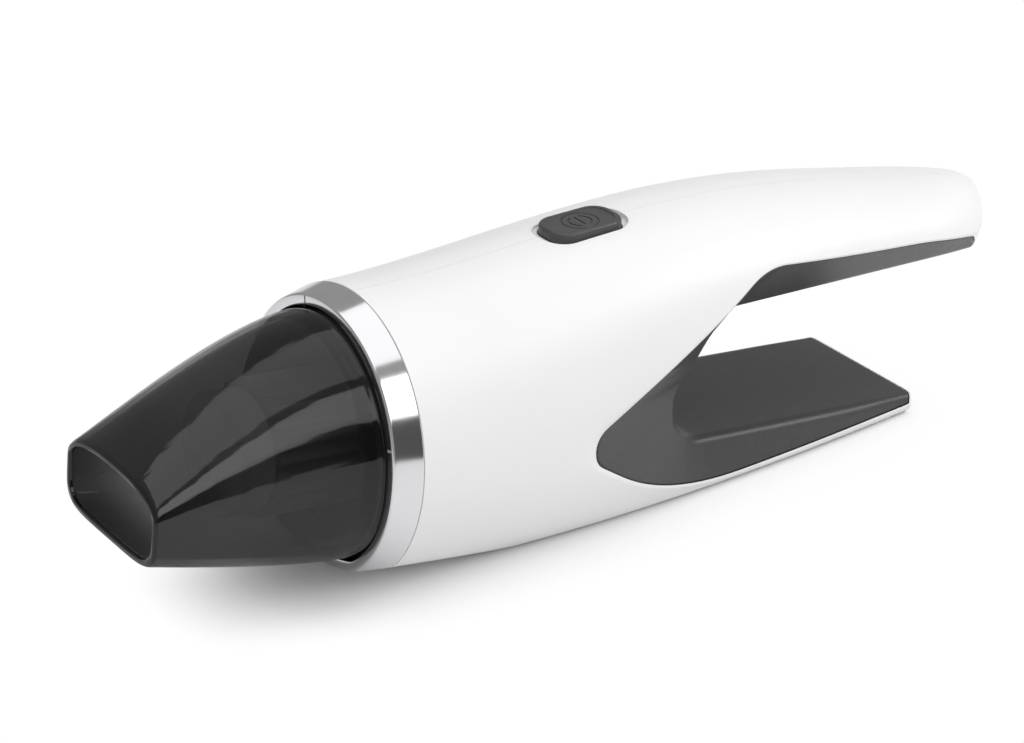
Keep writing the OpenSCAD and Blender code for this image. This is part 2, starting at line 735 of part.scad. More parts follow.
module front_motor_mount() { motor_mount(mount_x[0]); }
module rear_motor_mount() { motor_mount(mount_x[1]); }

// Foam in front of the exhaust slots in the closed end of the gap
foam_t = 5;
foam_w = 44;
foam_h = 18;
foam_low = -8;
module exhaust_foam() {
    color("darkslategray") at_rest()
        translate([throat_x - liner_t - foam_t - seat, -foam_w/2, foam_low]) cube([foam_t, foam_w, foam_h]);
}

// Power button, upright in its recess
flange_z = -4.4;
flange_h = 1.4;
flange_out = 1.4;
slice = 0.1;
// Distance under the button's top and inset of each slice of its rounded edge
edge_slices = [[1.2, 0], [0.4, 0.5], [0.1, 1.3]];
mark_r = 4.6;
mark_w = 0.5;
mark_depth = 0.35;
pad_t = 1;
touch = 0.001;
plunger_r = 3;
plunger_in = 1;
plunger_gap = 0.1;
switch_top = -9.2;
switch_h = 5;
switch_w = 14;
switch_well = 3.2;
board_t = 1.6;
module power_button() {
    color([0.25, 0.25, 0.26]) at_rest() at_button() one_mesh() difference() {
        union() {
            hull() {
                translate([0, 0, flange_z]) linear_extrude(slice) button_outline(0);
                for (e = edge_slices) translate([0, 0, button_proud - e[0]])
                    linear_extrude(slice) button_outline(-e[1]);
            }
            translate([0, 0, flange_z - flange_h]) linear_extrude(flange_h) button_outline(flange_out);
        }
        translate([0, 0, button_proud - mark_depth]) linear_extrude(1) difference() {
            circle(r = mark_r, $fn = 40);
            circle(r = mark_r - mark_w, $fn = 40);
        }
    }
}
module button_spring_pad() {
    color([0.6, 0.6, 0.6]) at_rest() at_button() translate([0, 0, flange_z - flange_h - pad_t - touch])
        cylinder(h = pad_t, r = plunger_r + 2, $fn = 48);
}
module switch_plunger() {
    top = flange_z - flange_h - pad_t - 2*touch;
    color("crimson") at_rest() at_button() translate([0, 0, switch_top - plunger_in])
        cylinder(h = top - switch_top + plunger_in, r = plunger_r, $fn = 48);
}
module switch_body() {
    color([0.15, 0.15, 0.15]) at_rest() at_button() difference() {
        translate([-switch_w/2, -switch_w/2, switch_top - switch_h]) cube([switch_w, switch_w, switch_h]);
        translate([0, 0, switch_top - switch_well])
            cylinder(h = 2*switch_well, r = plunger_r + plunger_gap, $fn = 48);
    }
}
board_top = switch_top - switch_h;
board_l = 56;
board_w = 26;
board_ahead = 24;
chip = [9, 10, 3];
chip_x = 14;
coil = [6, 8, 2];
coil_x = -18;
module control_board() {
    color("darkgreen") at_rest() at_button() union() {
        translate([-board_ahead, -board_w/2, board_top - board_t]) cube([board_l, board_w, board_t]);
        translate([chip_x, -chip[1]/2, board_top]) cube(chip);
        translate([coil_x, -coil[1]/2, board_top]) cube(coil);
    }
}

// Two cells side by side under the crown, on a holder that sits on the grip liner
// They lie ahead of the handle's middle, which leaves room for the charging board
cell_ahead = 14.5;
cell_x = (throat_x + housing_l - cell_l)/2 - cell_ahead;
cell_tilt = 0.75;
cell_rise = 16.4;
cell_z = grip_z + cell_rise;
cell_apart = 0.6;
cell_y = cell_r + cell_apart/2;
strap_t = 0.3;
strap_w = 5;
strap_gap = 0.05;
holder_end = 3;
holder_h = 10;
module at_cells() { translate([cell_x, 0, cell_z]) rotate([0, cell_tilt, 0]) children(); }
module cell(side) {
    color("teal") at_rest() at_cells() translate([0, side*cell_y, 0]) disc_x(0, cell_l, cell_r);
}
module cell_left() { cell(-1); }
module cell_right() { cell(1); }
module cell_holder() {
    w = 2*(grip_half_w - liner_t) - 1;
    floor_at = grip_z + grip_slope*(cell_x - grip_start[0]) + liner_t + 2*seat;
    color([0.2, 0.2, 0.2]) at_rest() difference() {
        translate([cell_x, 0, floor_at]) rotate([0, -atan(grip_slope), 0])
            translate([-holder_end, -w/2, 0]) cube([cell_l + 2*holder_end, w, holder_h]);
        at_cells() for (side = [-1, 1]) translate([0, side*cell_y, 0])
            disc_x(-2*strap_t, cell_l + 2*strap_t, cell_r + seat);
    }
}
module cell_straps() {
    color("lightgray") at_rest() at_cells() {
        translate([-strap_t - strap_gap, -cell_y - strap_w/2, -strap_w/2])
            cube([strap_t, 2*cell_y + strap_w, strap_w]);
        for (side = [-1, 1]) translate([cell_l + strap_gap, side*cell_y - strap_w/2, -strap_w/2])
            cube([strap_t, strap_w, strap_w]);
    }
}

// Charging socket in the end of the handle
socket_w = 9.2;
socket_h = 3.6;
socket_l = 8;
socket_t = 0.5;
socket_in = 1.5;
charge_z = 43;
charge_w = 18;
// The charging board fills the handle from behind the cells to the end wall
charge_gap = 14;
charge_end = 5;
charge_x = cell_x + cell_l + charge_gap;
charge_l = housing_l - charge_end - charge_x;
module charge_board() {
    color("darkgreen") at_rest()
        translate([charge_x, -charge_w/2, charge_z - socket_h/2 - board_t])
            cube([charge_l, charge_w, board_t]);
}
module charge_socket() {
    color("silver") at_rest()
        translate([housing_l - socket_in - socket_l, -socket_w/2, charge_z - socket_h/2]) difference() {
            cube([socket_l, socket_w, socket_h]);
            translate([2*socket_t, socket_t, socket_t])
                cube([socket_l, socket_w - 2*socket_t, socket_h - 2*socket_t]);
        }
}

module housing_screws() {
    color("dimgray") at_rest() at_screws() {
        translate([0, 0, head_y - screw_l + 1]) cylinder(h = screw_l - 1, r = screw_r, $fn = 24);
        translate([0, 0, head_y]) cylinder(h = screw_head_h, r = screw_head_r, $fn = 32);
    }
}

body_left();
body_right();
grip_liner();
trim_ring();
dust_cup();
cup_seal();
front_bulkhead();
filter_frame();
filter_media();
filter_cap();
fan_housing();
fan_wheel();
motor_shaft();
motor_armature();
motor_commutator();
motor_can();
motor_magnets();
motor_end_cap();
motor_brushes();
front_bearing();
rear_bearing();
front_motor_mount();
rear_motor_mount();
exhaust_foam();
power_button();
button_spring_pad();
switch_plunger();
switch_body();
control_board();
cell_left();
cell_right();
cell_holder();
cell_straps();
charge_board();
charge_socket();
housing_screws();
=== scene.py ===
import json
import math
from functools import lru_cache

import bmesh
import bpy
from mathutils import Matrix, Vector


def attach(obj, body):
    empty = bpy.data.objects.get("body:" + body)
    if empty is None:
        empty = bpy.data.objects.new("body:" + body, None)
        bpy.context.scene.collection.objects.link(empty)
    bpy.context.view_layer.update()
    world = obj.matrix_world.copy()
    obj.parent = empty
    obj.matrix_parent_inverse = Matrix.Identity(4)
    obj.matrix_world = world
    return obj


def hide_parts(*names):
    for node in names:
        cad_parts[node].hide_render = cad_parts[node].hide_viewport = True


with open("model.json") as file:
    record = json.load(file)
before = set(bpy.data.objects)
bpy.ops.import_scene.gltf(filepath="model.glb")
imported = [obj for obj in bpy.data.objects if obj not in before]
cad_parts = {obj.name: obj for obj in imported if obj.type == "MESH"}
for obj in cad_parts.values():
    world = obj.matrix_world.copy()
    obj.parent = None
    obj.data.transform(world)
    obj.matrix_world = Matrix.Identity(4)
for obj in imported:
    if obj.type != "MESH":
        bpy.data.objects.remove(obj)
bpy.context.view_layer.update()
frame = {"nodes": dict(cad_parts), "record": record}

# Housing halves: two satin white mouldings, 2.4 mm thick, screwed together on the mirror plane.
# The skin is a tube shaped ring by ring, hollowed by a smaller one and opened for the fingers, the ring,
# the button, the charging plug and the screws, then bisected along the parting line.
MM = 0.001
PITCH = math.radians(6.25)
ON_TABLE = (-0.11004, 0, 0.042347)
WALL = 2.4
SEAT = 0.15
SLACK = 0.4
FAR = 90
COLLAR_R = 45
NARROWING = 20.5
NARROWING_POWER = 1.7
CROWN_RISE = 14
CROWN_RISE_POWER = 1.5
CROWN_DROP = 6.5
CROWN_X = 143
CROWN_LOSS = 31
CROWN_LOSS_L = 265
CROWN_LOSS_POWER = 2.36
SQUARE_GAIN = 0.3
SQUARE_L = 120
HOUSING_L = 245
FOOT_X = 208
FOOT_CORNER = 9
FOOT_CORNER_STEPS = 12
FOOT_SPARE = 1
TAIL_TOP = 42
TAIL_PLAN_POWER = 2.2
TAIL_SIDE_POWER = 6
TAIL_TURN = 88
LOWER_DROP = 8
LOWER_LOSS = 19
LOWER_LOSS_POWER = 2.26
SPLIT_Z = 8
SOLE_DEPTH = 42.6
BELLY_ROUND = 120
BELLY_DEPTH = 39.8
BELLY_FALL = 0.07
LEAST_HALF = 0.5
SPRING_GAP = 0.01
HALVINGS = 24
CROWN_STEPS = 40
FLANK_STEPS = 30
CORNER_STEPS = 8
FLOOR_STEPS = 18
HALF_STEPS = CROWN_STEPS + FLANK_STEPS + CORNER_STEPS + FLOOR_STEPS
SKIN_ROWS = 120
TAIL_ROWS = 30
SKIN_CORNER = 3
PARTING = 0.06


def limit(value):
    return min(max(value, 0), 1)


def sine(share):
    """The sine of a share of a quarter turn."""
    return math.sin(math.pi / 2 * limit(share))


def tail_share(x):
    return limit((x - FOOT_X) / (HOUSING_L - FOOT_X))


def half_width(x):
    full = COLLAR_R - NARROWING * limit(x / HOUSING_L) ** NARROWING_POWER
    return full * (1 - tail_share(x) ** TAIL_PLAN_POWER) ** (1 / TAIL_PLAN_POWER)


def tail_kept(x):
    """How much of the handle's height is left where its end rounds off."""
    return (1 - tail_share(x) ** TAIL_SIDE_POWER) ** (1 / TAIL_SIDE_POWER)


def crown_height(x):
    return (COLLAR_R - CROWN_LOSS * sine(x / CROWN_LOSS_L) ** CROWN_LOSS_POWER) * tail_kept(x)


def crown_top(x):
    full = COLLAR_R + CROWN_RISE * sine(x / CROWN_X) ** CROWN_RISE_POWER
    full -= CROWN_DROP * sine((x - CROWN_X) / (HOUSING_L - CROWN_X)) ** 2
    kept = tail_kept(x)
    return TAIL_TOP * (1 - kept) + full * kept


def crown_square(x):
    """The power of the crown's section, from a true ellipse at the ring to a squarer one."""
    return 2 + SQUARE_GAIN * limit(x / SQUARE_L)


def lower_z(x):
    return -LOWER_DROP * x / FOOT_X


def lower_height(x):
    return COLLAR_R - LOWER_LOSS * limit(x / FOOT_X) ** LOWER_LOSS_POWER


def sole_z(x):
    return math.tan(PITCH) * x - SOLE_DEPTH


def belly_z(x, y):
    return y * y / BELLY_ROUND - BELLY_DEPTH - BELLY_FALL * x


def floor_z(x, y, inset):
    return max(belly_z(x, y), sole_z(x)) + inset


@lru_cache(maxsize=None)
def flank_end(x, inset):
    """The angle at which the lower flank meets the floor."""
    wide = max(half_width(x) - inset, LEAST_HALF)
    low, high = 0, math.pi / 2
    for _ in range(HALVINGS):
        turn = (low + high) / 2
        height = lower_z(x) - (lower_height(x) - inset) * math.sin(turn)
        if height > floor_z(x, wide * math.cos(turn), inset):
            low = turn
        else:
            high = turn
    return low


def skin_half(x, inset, step):
    """A point of half the skin's section, counted from the crown's top round to the floor's middle."""
    wide = max(half_width(x) - inset, LEAST_HALF)
    spring = crown_top(x) - crown_height(x)
    if step <= CROWN_STEPS:
        turn = math.pi / 2 * (1 - step / CROWN_STEPS)
        power = 2 / crown_square(x)
        tall = max(crown_height(x) - inset, LEAST_HALF)
        return wide * abs(math.cos(turn)) ** power, spring + tall * abs(math.sin(turn)) ** power
    step -= CROWN_STEPS
    last = flank_end(x, inset)
    tall = lower_height(x) - inset
    edge = wide * math.cos(last)
    soft = min(SKIN_CORNER, edge / 2)
    start = last - soft / math.hypot(wide * math.sin(last), tall * math.cos(last))
    if step <= FLANK_STEPS:
        turn = start * step / FLANK_STEPS
        return wide * math.cos(turn), lower_z(x) - tall * math.sin(turn) - SPRING_GAP
    step -= FLANK_STEPS
    if step <= CORNER_STEPS:
        share = step / CORNER_STEPS
        first = Vector((wide * math.cos(start), lower_z(x) - tall * math.sin(start) - SPRING_GAP))
        corner = Vector((edge, floor_z(x, edge, inset)))
        third = Vector((edge - soft, floor_z(x, edge - soft, inset)))
        return first.lerp(corner, share).lerp(corner.lerp(third, share), share)
    step -= CORNER_STEPS
    y = (edge - soft) * (1 - step / FLOOR_STEPS)
    return y, floor_z(x, y, inset)


def pick(piece):
    """Makes one piece the only thing that the next operators act on."""
    bpy.ops.object.select_all(action="DESELECT")
    piece.select_set(True)
    bpy.context.view_layer.objects.active = piece


def blank_tube(name, around, along):
    """A closed tube cut into rings, for shaping by a formula of the ring and the place round it."""
    bpy.ops.object.select_all(action="DESELECT")
    bpy.ops.mesh.primitive_cylinder_add(vertices=around, rotation=(0, math.pi / 2, 0))
    tube = bpy.context.object
    tube.name = name
    bpy.ops.object.transform_apply(location=False, rotation=True, scale=False)
    bpy.ops.object.mode_set(mode="EDIT")
    bpy.ops.mesh.select_all(action="DESELECT")
    for edge in bmesh.from_edit_mesh(tube.data).edges:
        edge.select_set(abs(edge.verts[0].co.x - edge.verts[1].co.x) > 1)
    bpy.ops.mesh.subdivide(number_cuts=along - 1)
    bpy.ops.object.mode_set(mode="OBJECT")
    return tube


def shape_tube(tube, around, along, formula):
    """Puts each point of a blank tube where the formula says, and turns the faces outwards."""
    for point in tube.data.vertices:
        ring = round((point.co.x + 1) / 2 * along)
        spoke = round(math.atan2(-point.co.z, point.co.y) / (2 * math.pi) * around) % around
        point.co = formula(ring, spoke)
    pick(tube)
    bpy.ops.object.mode_set(mode="EDIT")
    bpy.ops.mesh.select_all(action="SELECT")
    bpy.ops.mesh.normals_make_consistent(inside=False)
    bpy.ops.object.mode_set(mode="OBJECT")


def cut(piece, tool, operation="DIFFERENCE", keep=False):
    """Cuts a piece with a tool, joins them, or keeps what they share."""
    pick(piece)
    saw = piece.modifiers.new("saw", "BOOLEAN")
    saw.operation = operation
    saw.solver = "EXACT"
    saw.object = tool
    bpy.ops.object.modifier_apply(modifier=saw.name)
    if not keep:
        bpy.data.objects.remove(tool)


def box(name, low, high):
    """A plain block between two corners."""
    bpy.ops.object.select_all(action="DESELECT")
    middle = [(a + b) / 2 for a, b in zip(low, high)]
    bpy.ops.mesh.primitive_cube_add(size=1, location=middle, scale=[b - a for a, b in zip(low, high)])
    block = bpy.context.object
    block.name = name
    bpy.ops.object.transform_apply(location=True, rotation=True, scale=True)
    return block


def bevel_edges(piece, width, segments, wanted):
    """Rounds the edges that a test of their two ends picks out."""
    pick(piece)
    bpy.ops.object.mode_set(mode="EDIT")
    bpy.ops.mesh.select_mode(type="EDGE")
    bpy.ops.mesh.select_all(action="DESELECT")
    for edge in bmesh.from_edit_mesh(piece.data).edges:
        edge.select_set(wanted(edge.verts[0].co, edge.verts[1].co))
    bpy.ops.mesh.bevel(offset=width, segments=segments, affect="EDGES")
    bpy.ops.object.mode_set(mode="OBJECT")


def skin(name, inset, front):
    """The housing's outer form, drawn in by an inset, with the foot ended and its corners rounded."""
    around = 2 * HALF_STEPS

    def formula(ring, spoke):
        if ring <= SKIN_ROWS:
            x = front + (FOOT_X - front) * ring / SKIN_ROWS
        else:
            x = FOOT_X + (HOUSING_L - FOOT_X) * sine((ring - SKIN_ROWS) / TAIL_ROWS * TAIL_TURN / 90)
        place = (spoke + HALF_STEPS // 2) % around
        y, z = skin_half(x, inset, min(place, around - place))
        return x - tail_share(x) * inset, y if place <= HALF_STEPS else -y, z

    form = blank_tube(name, around, SKIN_ROWS + TAIL_ROWS)
    shape_tube(form, around, SKIN_ROWS + TAIL_ROWS, formula)
    behind_low = (FOOT_X - 2 * FOOT_CORNER, -FAR, -FAR)
    behind = box("behind_foot", behind_low, (HOUSING_L + FAR, FAR, SPLIT_Z - inset))
    wide = half_width(FOOT_X - FOOT_CORNER) + FOOT_SPARE - inset
    foot = box("foot", (0, -wide, -2 * FAR), (FOOT_X - inset, wide, FAR))

    def upright_end(a, b):
        return a.x > 1 and b.x > 1 and abs(a.z - b.z) > 1

    bevel_edges(foot, FOOT_CORNER - inset, FOOT_CORNER_STEPS, upright_end)
    cut(behind, foot)
    cut(form, behind)
    return form


PANEL_TIP = Vector((54, -1.2))
PANEL_TOP = Vector((131, 45.7))
PANEL_LOW_X = 102
PANEL_FALL = 0.04
HANDLE_DIP = 3
HANDLE_DIP_X = 195
HANDLE_DIP_L = 60
EDGE_FILLETS = (30, 7.8, 95)
RIM_H = 3.2
GAP_END = HOUSING_L + 40
GRIP_END = HOUSING_L - 55
GRIP_CORNER = 12
PAD_END = FOOT_X - 4
THROAT = 105
THROAT_Z = 7.5
THROAT_LEAN = 0.6
GRIP_START = THROAT + 21
GRIP_Z = 26.3
GRIP_SLOPE = 0.056
PAD_Z = -12.2
PAD_SLOPE = 0.009
CREASE_FILLETS = (10, 12, 12)
GRIP_HALF = 20
PAD_HALF = 28.2
WIDEN_Z = 12
FLANK_REACH = 1.3
FLANK_W = 1.5
FILLET_STEPS = 14
RUN_STEPS = 12
END_STEPS = 44
CREASE_SOFT = 3.6
CREASE_STEPS = 8
CREASE_SHARE = 0.45
LIP_SOFT = 0.5
LIP_SHARE = 0.4


def skin_y(x, z):
    """Half the skin's width at a height."""
    spring = crown_top(x) - crown_height(x)
    if z > spring:
        power = crown_square(x)
        return half_width(x) * (1 - limit((z - spring) / crown_height(x)) ** power) ** (1 / power)
    if z < lower_z(x):
        return half_width(x) * math.sqrt(1 - limit((lower_z(x) - z) / lower_height(x)) ** 2)
    return half_width(x)


def fillet(before, corner, after, radius):
    """Points of the arc that rounds a corner."""
    first = (before - corner).normalized()
    second = (after - corner).normalized()
    half = first.angle(second) / 2
    middle = corner + (first + second).normalized() * radius / math.sin(half)
    start = corner + first * radius / math.tan(half) - middle
    end = corner + second * radius / math.tan(half) - middle
    sweep = math.copysign(math.pi - 2 * half, start.cross(end))
    angle = math.atan2(start.y, start.x)
    turns = [angle + sweep * step / FILLET_STEPS for step in range(FILLET_STEPS + 1)]
    return [middle + radius * Vector((math.cos(turn), math.sin(turn))) for turn in turns]


def corner_path(start, corners, end, radii):
    """A path round three corners, with points along its straight runs and given points at both ends."""
    guides = [start[-1], *corners, end[0]]
    arcs = [fillet(*guides[step:step + 3], radius) for step, radius in enumerate(radii)]
    path = list(start)
    for arc in (*arcs, end):
        path += [path[-1].lerp(arc[0], step / RUN_STEPS) for step in range(1, RUN_STEPS)]
        path += arc
    return path


def grip_ends(line):
    """Points of a line from far behind the handle forwards along its last stretch."""
    stretch = HOUSING_L - GRIP_END
    spots = [GRIP_END + stretch * step / END_STEPS for step in range(END_STEPS, -1, -1)]
    return [line(x) for x in (GAP_END, *spots)]


def handle_edge(x):
    """The point on the handle's flank at which the grey panel starts."""
    dip = HANDLE_DIP * sine((x - HANDLE_DIP_X) / HANDLE_DIP_L) ** 2
    return Vector((x, PANEL_TOP.y - PANEL_FALL * (x - PANEL_TOP.x) - dip))


def edge_path():
    """The line on the skin at which the grey panel starts, from the handle round to the foot."""

    def rim(x):
        return Vector((x, sole_z(x) + RIM_H))

    corners = [PANEL_TOP, PANEL_TIP, rim(PANEL_LOW_X)]
    return corner_path(grip_ends(handle_edge), corners, [rim(PAD_END), rim(GAP_END)], EDGE_FILLETS)


def crease_path():
    """The line along which the panel's flank turns into the handle's underside, the throat and the pad."""

    def grip(x):
        flat = Vector((x, GRIP_Z + GRIP_SLOPE * (x - GRIP_START)))
        past = limit((x - HOUSING_L) / GRIP_CORNER + 1)
        return flat.lerp(handle_edge(x), past * past)

    def pad(x):
        return Vector((x, PAD_Z - PAD_SLOPE * (x - THROAT)))

    corners = [grip(GRIP_START), Vector((THROAT, THROAT_Z)), Vector((THROAT + THROAT_LEAN, PAD_Z))]
    return corner_path(grip_ends(grip), corners, [pad(PAD_END), pad(GAP_END)], CREASE_FILLETS)


def moved(path, distance):
    """A path pushed away from the air in the finger gap."""
    result = []
    for step, point in enumerate(path):
        along = (path[min(step + 1, len(path) - 1)] - path[max(step - 1, 0)]).normalized()
        result.append(point + distance * Vector((along.y, -along.x)))
    return result


def finger_gap(name, thicker, lip=0):
    """The air between handle and foot and along the flanks, pushed outwards, its lip softened if asked."""
    grid = []
    outward = [(far - near) for near, far in zip(edge_path(), moved(edge_path(), 1))]
    for edge, crease, away in zip(moved(edge_path(), thicker), moved(crease_path(), thicker), outward):
        edge_y = skin_y(edge.x if edge.y > SPLIT_Z else min(edge.x, PAD_END), edge.y)
        inner_y = GRIP_HALF + (PAD_HALF - GRIP_HALF) * limit((GRIP_Z - crease.y) / (GRIP_Z - WIDEN_Z))
        inner_y = max(min(inner_y, edge_y - FLANK_W) - thicker, LEAST_HALF)
        inner = Vector((crease.x, inner_y, crease.y))
        outer = Vector((edge.x, max(edge_y, inner.y + LEAST_HALF), edge.y))
        flank = outer - inner
        soft = min(CREASE_SOFT, CREASE_SHARE * flank.length)
        first = inner + flank.normalized() * soft
        third = inner - Vector((0, min(soft, CREASE_SHARE * inner.y), 0))
        shares = [step / CREASE_STEPS for step in range(CREASE_STEPS + 1)]
        bend = [first.lerp(inner, share).lerp(inner.lerp(third, share), share) for share in shares]
        flare = Vector((away.x, 0, away.y)) * lip
        end = inner + flank * FLANK_REACH + flare
        half = [Vector((end.x, FAR, end.z)), end]
        if lip:
            half += [outer + flare, outer - flank.normalized() * min(lip, LIP_SHARE * flank.length)]
        half += bend
        grid.append(half + [Vector((point.x, -point.y, point.z)) for point in reversed(half)])
    tool = blank_tube(name, len(grid), len(grid[0]) - 1)
    shape_tube(tool, len(grid), len(grid[0]) - 1, lambda ring, spoke: grid[spoke][ring])
    return tool


BUTTON_X = 81.5
BUTTON_L = 26
BUTTON_W = 16.6
BUTTON_R = 6.5
POCKET_END = 2.7
POCKET_SIDE = 0.9
POCKET_CORNER = BUTTON_R + 1.6
POCKET_DEPTH = 1.6
POCKET_SOFT = 0.6
TOOL_REACH = 20
HOLLOW_FRONT = 3
LIP = 0.55
LIP_FRONT = -2
BED_T = 2.5
OPENING_FRONT = -5
OPENING_BACK = 7
SOCKET_X = HOUSING_L - 9.5
SOCKET_Z = 43
SOCKET_W = 9.2
SOCKET_H = 3.6
PLUG_CORNER = 1.6
SCREWS = ((16, 37.5), (58, -28), (119, 49), (204, 47.5))
HEAD_Y = 9
BOSS_R = 4
BOSS_START = 0.5
WELL_R = 2.95
SCREW_BORE_R = 1.55


def rounded_block(name, length, width, corner, low, high, steps):
    """An upright block with rounded corners, centred on Z."""
    block = box(name, (-length / 2, -width / 2, low), (length / 2, width / 2, high))
    bevel_edges(block, corner, steps, lambda a, b: abs(a.z - b.z) > 0.1)
    return block


def at_button(piece):
    """Stands a piece upright at the button's place on the tipped housing."""
    pick(piece)
    piece.rotation_euler = (0, -PITCH, 0)
    piece.location = (BUTTON_X, 0, crown_top(BUTTON_X))
    bpy.ops.object.transform_apply(location=True, rotation=True, scale=True)


def settle(piece, angle=35):
    """Takes a piece from millimetres on the suction axis to metres on the table, and smooths it."""
    pick(piece)
    piece.scale = (MM, MM, MM)
    piece.rotation_euler = (0, PITCH, 0)
    piece.location = ON_TABLE
    bpy.ops.object.transform_apply(location=True, rotation=True, scale=True)
    bpy.ops.object.shade_smooth_by_angle(angle=math.radians(angle))


def rod(name, radius, low, high, axis, sides, place=(0, 0, 0)):
    """A round bar along one axis, from low to high."""
    bpy.ops.object.select_all(action="DESELECT")
    turn = {"X": (0, math.pi / 2, 0), "Y": (-math.pi / 2, 0, 0), "Z": (0, 0, 0)}[axis]
    middle = Vector(place)
    middle["XYZ".index(axis)] += (low + high) / 2
    bpy.ops.mesh.primitive_cylinder_add(
        vertices=sides, radius=radius, depth=high - low, location=middle, rotation=turn
    )
    bar = bpy.context.object
    bar.name = name
    bpy.ops.object.transform_apply(location=True, rotation=True, scale=True)
    return bar


def joined(name, parts):
    """Several separate pieces as one."""
    pick(parts[0])
    for part in parts:
        part.select_set(True)
    bpy.ops.object.join()
    parts[0].name = name
    return parts[0]


shell = skin("shell", 0, 0)
cut(shell, skin("hollow", WALL, HOLLOW_FRONT))
lip = skin("lip", LIP, LIP_FRONT)
bosses = [rod("boss", BOSS_R, BOSS_START, FAR, "Y", 32, (x, 0, z)) for x, z in SCREWS]
bosses = joined("bosses", bosses)
cut(bosses, lip, "INTERSECT", keep=True)
cut(shell, bosses, "UNION")
wells = [rod("well", WELL_R, HEAD_Y, FAR, "Y", 40, (x, 0, z)) for x, z in SCREWS]
cut(shell, joined("wells", wells))
bores = [rod("bore", SCREW_BORE_R, -1, HEAD_Y + 1, "Y", 24, (x, 0, z)) for x, z in SCREWS]
cut(shell, joined("bores", bores))
finger_air = finger_gap("finger_air", 0, LIP_SOFT)
panel_bed = finger_gap("panel_bed", BED_T)
cut(panel_bed, lip, "INTERSECT", keep=True)
cut(shell, finger_air, keep=True)
cut(shell, panel_bed)
opening = rod("opening", COLLAR_R - WALL - SEAT, OPENING_FRONT, OPENING_BACK, "X", 128)
for point in opening.data.vertices:
    point.co.z = max(point.co.z, belly_z(point.co.x, point.co.y) + WALL + SEAT)
cut(shell, opening)
hole_l = BUTTON_L + 2 * SLACK
hole_w = BUTTON_W + 2 * SLACK
button_hole = rounded_block("button_hole", hole_l, hole_w, BUTTON_R + SLACK, -TOOL_REACH, TOOL_REACH, 10)
at_button(button_hole)
cut(shell, button_hole)
pocket_l = BUTTON_L + 2 * POCKET_END
pocket_w = BUTTON_W + 2 * POCKET_SIDE
pocket = rounded_block("pocket", pocket_l, pocket_w, POCKET_CORNER, -POCKET_DEPTH, TOOL_REACH, 12)
bevel_edges(pocket, POCKET_SOFT, 4, lambda a, b: max(a.z, b.z) < -POCKET_DEPTH + 0.1)
at_button(pocket)
cut(shell, pocket)
plug_hole = box(
    "plug_hole",
    (SOCKET_X, -SOCKET_W / 2 - SLACK, SOCKET_Z - SOCKET_H / 2 - SLACK),
    (HOUSING_L + FAR, SOCKET_W / 2 + SLACK, SOCKET_Z + SOCKET_H / 2 + SLACK),
)
bevel_edges(plug_hole, PLUG_CORNER, 6, lambda a, b: abs(a.x - b.x) > 1)
cut(shell, plug_hole)


def half_shell(name, side):
    """One half of the shell, cut back a little from the parting line."""
    pick(shell)
    bpy.ops.object.duplicate()
    half = bpy.context.object
    half.name = name
    bpy.ops.object.mode_set(mode="EDIT")
    bpy.ops.mesh.select_all(action="SELECT")
    bpy.ops.mesh.bisect(
        plane_co=(0, side * PARTING, 0), plane_no=(0, side, 0), use_fill=True, clear_inner=True
    )
    bpy.ops.object.mode_set(mode="OBJECT")
    return half


class Wire:
    """One socket of a shader tree, with arithmetic on it making Math nodes."""

    def __init__(self, tree, socket):
        self.tree = tree
        self.socket = socket

    @classmethod
    def node(cls, tree, kind, settings=None, values=None, output=0):
        """Adds a node with its settings, then its sockets' values or links, and gives one output."""
        made = tree.nodes.new(kind)
        for name, value in (settings or {}).items():
            setattr(made, name, value)
        for name, value in (values or {}).items():
            if isinstance(value, Wire):
                tree.links.new(value.socket, made.inputs[name])
            else:
                made.inputs[name].default_value = value
        return cls(tree, made.outputs[output])

    def math(self, operation, other):
        return Wire.node(self.tree, "ShaderNodeMath", {"operation": operation}, {0: self, 1: other})

    def __add__(self, other):
        return self.math("ADD", other)

    def __mul__(self, other):
        return self.math("MULTIPLY", other)

    def into(self, shader, name):
        self.tree.links.new(self.socket, shader.inputs[name])


def look(name, constants):
    """A new material whose shader holds the values that are the same all over."""
    material = bpy.data.materials.new(name)
    material.use_nodes = True
    shader = material.node_tree.nodes["Principled BSDF"]
    for socket, value in constants.items():
        shader.inputs[socket].default_value = value
    return material, material.node_tree, shader


def speckle(tree, scale, detail=2):
    """Noise over the piece, in its own coordinates, about 0.5 on average."""
    place = Wire.node(tree, "ShaderNodeTexCoord", output="Object")
    values = {"Vector": place, "Scale": scale, "Detail": detail}
    return Wire.node(tree, "ShaderNodeTexNoise", values=values)


def between(tree, share, first, second):
    """A colour between two others."""
    values = {0: share, 6: (*first, 1), 7: (*second, 1)}
    return Wire.node(tree, "ShaderNodeMix", {"data_type": "RGBA"}, values, 2)


def raised(height, strength, distance):
    """A normal with the height pressed into it."""
    values = {"Height": height, "Strength": strength, "Distance": distance}
    return Wire.node(height.tree, "ShaderNodeBump", values=values)


white_shell, tree, shader = look("white_shell", {"Specular IOR Level": 0.4})
between(tree, speckle(tree, 35), (0.86, 0.86, 0.87), (0.89, 0.89, 0.895)).into(shader, "Base Color")
(speckle(tree, 70) * 0.1 + 0.29).into(shader, "Roughness")
raised(speckle(tree, 1600), 0.08, 0.0001).into(shader, "Normal")

for side_name, side in (("body_left", -1), ("body_right", 1)):
    half = half_shell(side_name + "_skin", side)
    settle(half)
    half.data.materials.append(white_shell)
    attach(half, "housing")
    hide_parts(side_name)
bpy.data.objects.remove(shell)

